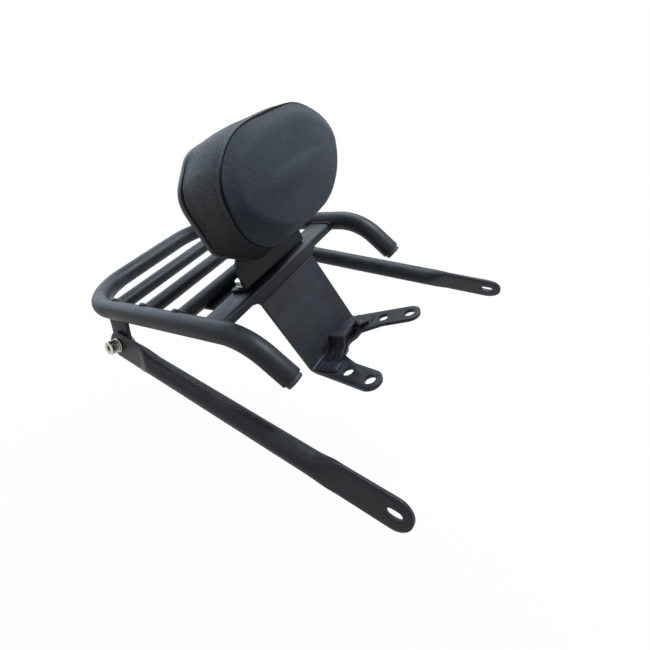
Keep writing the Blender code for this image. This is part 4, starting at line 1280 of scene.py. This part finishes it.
def inflate(rings):
    """Push a coarse cushion outward with Cloth, and return how far each point went."""
    mesh = as_mesh(skin([[tuple(point) for point in ring] for ring in rings]), "puff")
    mesh.transform(Matrix.Scale(MM * CLOTH_SCALE, 4))
    puff = put_in_scene("puff", mesh)
    held = puff.vertex_groups.new(name="held")
    count = len(rings[0])
    for row in (0, 1, BAND_STEPS):
        held.add(list(range(row * count, (row + 1) * count)), 1.0, "REPLACE")
    cloth = puff.modifiers.new("puff", "CLOTH")
    for key, value in CLOTH_SETTINGS.items():
        setattr(cloth.settings, key, value)
    cloth.settings.effector_weights.gravity = 0.0
    cloth.point_cache.frame_end = CLOTH_FRAMES
    for step in range(1, CLOTH_FRAMES + 1):
        scene.frame_set(step)
    graph = bpy.context.evaluated_depsgraph_get()
    moved = puff.evaluated_get(graph).to_mesh()
    after = np.array([tuple(v.co) for v in moved.vertices])
    before = np.array([tuple(v.co) for v in mesh.vertices])
    bpy.data.objects.remove(puff)
    bpy.data.meshes.remove(mesh)
    scene.frame_set(1)
    step_out = (after - before) / (MM * CLOTH_SCALE)
    length = np.linalg.norm(step_out, axis=1, keepdims=True)
    step_out *= np.minimum(1.0, PUFF_CAP / np.maximum(length, 1e-9))
    return step_out.reshape(len(rings), count, 3)


SMOOTHINGS = 24


def puff_field():
    """The movement of the coarse copy, evened out round the pad."""
    rings = cushion_grid(COARSE)
    field = inflate(rings)
    for _ in range(SMOOTHINGS):
        field = (np.roll(field, 1, 1) + 2 * field + np.roll(field, -1, 1)) / 4
    return field


puffs = puff_field()
print("the cover is pushed out by up to", round(float(np.linalg.norm(puffs, axis=2).max()), 2), "mm")


# %% Fine cushion
STITCH_PITCH = 3.8
VALLEY_DEPTH, VALLEY_HALF = 1.3, 0.95
LIP_HEIGHT, LIP_PLACE, LIP_HALF = 0.35, 3.4, 1.7
PUCKER_HEIGHT, PUCKER_REACH = 0.14, 2.6
WAVE_HEIGHT, DIMPLE_HEIGHT = 0.55, 0.14


def fine_puff(row, k):
    """Movement of the coarse copy, read between its points."""
    at = k / FINE * COARSE
    low = int(at) % COARSE
    part = at - int(at)
    return puffs[row, low] * (1 - part) + puffs[row, (low + 1) % COARSE] * part


def make_cushion():
    """The fine cushion with its seam: points, normals, number of stitches and seam length."""
    rings = cushion_grid(FINE)
    grid = np.array([[tuple(point) for point in ring] for ring in rings])
    for row in range(grid.shape[0]):
        for k in range(FINE):
            grid[row, k] += fine_puff(row, k)
    around = np.roll(grid, -1, 1) - np.roll(grid, 1, 1)
    along = np.gradient(grid, axis=0)
    normals = np.cross(around, along)
    normals /= np.maximum(np.linalg.norm(normals, axis=2, keepdims=True), 1e-9)
    if normals[BAND_STEPS // 2, 0, 1] < 0:
        normals = -normals
    seam = grid[BAND_STEPS]
    perimeter = float(np.linalg.norm(np.roll(seam, -1, 0) - seam, axis=1).sum())
    stitches = round(perimeter / STITCH_PITCH)
    for row in range(grid.shape[0]):
        gap = np.linalg.norm(grid[row] - seam, axis=1)
        if row == BAND_STEPS:
            gap = np.zeros(FINE)
        valley = LIP_HEIGHT * np.exp(-((gap - LIP_PLACE) / LIP_HALF) ** 2) \
            - VALLEY_DEPTH * np.exp(-(gap / VALLEY_HALF) ** 2)
        phase = np.arange(FINE) / FINE * stitches * 2 * pi
        pucker = PUCKER_HEIGHT * np.cos(phase) * np.exp(-(gap / PUCKER_REACH) ** 2)
        wide = np.array([noise.noise(Vector(point) * 0.028) for point in grid[row]])
        small = np.array([noise.noise(Vector(point) * 0.085 + Vector((9, 3, 5)))
                          for point in grid[row]])
        edge = 0.0 if row == 0 else 1.0
        uneven = edge * (WAVE_HEIGHT * wide + DIMPLE_HEIGHT * small)
        grid[row] += normals[row] * (valley + pucker + uneven)[:, None]
    return grid, normals, stitches, perimeter


# %% Cushion in its cover
BAND_SLOT, FRONT_SLOT, SEAM_SHADE_SLOT = 0, 1, 2
cushion_points, cushion_normals, stitch_count, seam_length = make_cushion()
cushion_builder = skin([[tuple(point) for point in ring] for ring in cushion_points])
cushion_builder.faces.ensure_lookup_table()
for number, face in enumerate(cushion_builder.faces):
    row = number // FINE
    face.material_index = FRONT_SLOT if row > BAND_STEPS else BAND_SLOT
    # the two rows beside the seam take the near-black copy: painted shade along the seam's valley
    if row in (BAND_STEPS - 1, BAND_STEPS):
        face.material_index = SEAM_SHADE_SLOT
cushion = add_piece("cushion", cushion_builder, rest_frame(),
                    [band_leather, front_leather, seam_shade_leather],
                    stands_for=["pad_cushion"], sharp=75.0)
print("seam", round(seam_length), "mm long with", stitch_count, "stitches")

# %% [markdown]
# ## Stitches
# A lockstitch shows as a row of short thread rolls that dive into the cover at both ends. Each is a
# small capsule bent into the seam's valley, and all of them are one piece.

# %% Seam stitches
THREAD_R = 0.50


def make_stitches():
    builder = bmesh.new()
    seam = [Vector(tuple(point)) for point in cushion_points[BAND_STEPS]]
    out = [Vector(tuple(normal)) for normal in cushion_normals[BAND_STEPS]]
    sides, steps, radius = 8, 6, THREAD_R
    for number in range(stitch_count):
        rings = []
        for step in range(steps + 1):
            share = step / steps
            at = (number + 0.16 + 0.68 * share) / stitch_count * FINE
            low, part = int(at) % FINE, at - int(at)
            high = (low + 1) % FINE
            point = seam[low].lerp(seam[high], part)
            tangent = (seam[high] - seam[low]).normalized()
            normal = out[low].lerp(out[high], part).normalized()
            across = tangent.cross(normal)
            swell = radius * max(0.12, sin(pi * share)) ** 0.4
            point = point + normal * (0.42 * sin(pi * share) - 0.05)
            rings.append(ring_round(point, normal, across, swell, sides))
        add_to(builder, skin(rings))
    return builder


add_piece("seam_stitches", make_stitches(), rest_frame(), thread, sharp=80.0)
print(stitch_count, "stitches of", 2 * THREAD_R, "mm thread")

# %% [markdown]
# ## Screws of the pad
# Four pan-head screws pass through the upright into the back shell. They are seen from behind only.
# Each is one turned profile, with a dimple for the driver.

# %% Pad screws
SCREW_HEIGHTS = {"lower": 84.0, "upper": 120.0}
SCREW_X = 26.0
for side in (LEFT, RIGHT):
    for row_name, height in SCREW_HEIGHTS.items():
        seat = -REST_THICK - SEAT_GAP
        head = turned([(0.0, 6.0), (2.2, 6.0), (3.0, 5.2), (3.0, seat), (5.3, seat), (5.5, seat - 0.5),
                       (5.4, seat - 1.4), (4.9, seat - 2.4), (4.0, seat - 3.1), (3.1, seat - 3.45),
                       (2.4, seat - 3.5), (2.05, seat - 1.9), (0.0, seat - 1.6)], 48)
        add_piece(f"pad_bolt_{row_name}_{SIDES[side]}", head,
                  rest_frame() @ shift(side * SCREW_X, height, 0), plated_steel,
                  stands_for=[f"pad_screw_{row_name}_{SIDES[side]}"], sharp=35.0)
print("pad screws", 2 * SCREW_X, "mm apart")

# %% [markdown]
# ## End plugs
# The open tube ends are closed by push-in plastic plugs with a slightly domed, rounded head.

# %% Plugs
plug_profile = [(0.0, -14.0), (9.0, -14.0), (10.3, -12.0), (10.35, -5.0), (9.6, -4.4), (9.6, -3.2),
                (10.35, -2.6), (10.4, 0.2), (10.4, 3.6), (10.2, 4.5), (9.6, 5.2), (8.6, 5.5),
                (4.0, 5.7), (0.0, 5.75)]
plug_lean = radians(HORN_ANGLE)
plug_out = Vector((0, -cos(plug_lean), -sin(plug_lean)))
for side in (LEFT, RIGHT):
    end = loop_centreline()[-1]
    across = Vector((1, 0, 0))
    add_piece(f"tube_plug_{SIDES[side]}", turned(plug_profile, 64),
              deck_frame((side * end.x, end.y, end.z), across, plug_out.cross(across), plug_out),
              plug_plastic, stands_for=[f"end_plug_{SIDES[side]}"], sharp=40.0)
print("plugs at the ends of the horns")

# %% [markdown]
# ## Welds of the plates
# A weld lies wherever one plate or tab meets a tube or another plate: along the folded angle, round
# each tab, at the ends of the strap and on both edges of the flat bar. The runs are rows of points
# along those seams, and the same helper as for the cross tubes lays the bead on them.

# %% Plate welds
for side in (LEFT, RIGHT):
    label = SIDES[side]
    line = [(side * (coped_x(2.3) - 0.3), y, 2.6) for y in np.linspace(31.0, 2.5, 22)]
    line += [(side * (coped_x(z) - 0.3), 1.2, z) for z in np.linspace(1.2, -8.0, 9)]
    add_weld(f"angle_weld_{label}", line, 1.9, seed=side * 2.7)
plate_line = [(x, 0.9, -17.0) for x in np.linspace(-56.0, 56.0, 90)]
add_weld("plate_weld", plate_line, 1.2, seed=6.1)
print("angle and plate welded")


# %% Ear welds
def ear_joint(side, out, half, drop=0.0):
    """A point of the seam between an ear and its tube, in the ear's own directions."""
    tilt = radians(EAR_TILT)
    outward = Vector((side * cos(tilt), 0, sin(tilt)))
    down = Vector((side * sin(tilt), 0, -cos(tilt)))
    centre = Vector((side * SIDE_X, EAR_Y + half, 0))
    return centre + outward * out + down * (sqrt(TUBE_R ** 2 - out ** 2) + drop)


EAR_HALF = 22.6
SIDE_RUN = np.linspace(-EAR_HALF, EAR_HALF, 30)
END_TURNS = np.linspace(0.3, pi - 0.3, 7)
for side in (LEFT, RIGHT):
    line = []
    for out in (1, -1):
        line += [ear_joint(side, -EAR_INSET + out * (EAR_THICK / 2 + 0.6), out * half, 0.6)
                 for half in SIDE_RUN]
        line += [ear_joint(side, -EAR_INSET + out * EAR_THICK / 2 * cos(turn),
                           out * (EAR_HALF + 2.2 * sin(turn)), 0.6) for turn in END_TURNS]
    add_weld(f"ear_weld_{SIDES[side]}", line, 2.6, closed=True, seed=side * 4.3)
print("tabs welded over", 2 * EAR_HALF, "mm")

# %% Bridge and stiffener welds
BRIDGE_RISE = radians(10.0)
BRIDGE_Y = -51.0
bridge_z = -117.0 + (-40.0 - BRIDGE_Y) * tan(BRIDGE_RISE)
bridge_back = Vector((0, cos(BRIDGE_RISE), -sin(BRIDGE_RISE)))
bridge_up = Vector((0, sin(BRIDGE_RISE), cos(BRIDGE_RISE)))
bridge_seat = deck_frame((0, BRIDGE_Y, bridge_z), Vector((1, 0, 0)), bridge_back, bridge_up)
for side in (LEFT, RIGHT):
    label = SIDES[side]
    front = [(side * x, -25.6, 0.9) for x in np.linspace(38.0, 56.4, 12)]
    outer_run = [(side * 56.8, y, 0.9) for y in np.linspace(-24.0, -1.0, 14)]
    back = [(side * x, 1.0, 1.4) for x in np.linspace(56.0, 30.0, 18)]
    add_piece(f"bridge_weld_{label}", bead(front + outer_run + back, 1.9, seed=side * 8.2),
              bridge_seat, weld_coat, sharp=80.0)
    for edge in (-1, 1):
        run = [(side * x, CROSS_ROWS["front"] + edge * 5.6, -CROSS_R + 0.4)
               for x in np.linspace(24.0, 62.0, 24)]
        add_weld(f"stiffener_weld_{label}_{'rear' if edge > 0 else 'front'}", run, 1.6,
                 seed=side * 5.9 + edge)
print("strap and flat bar welded")
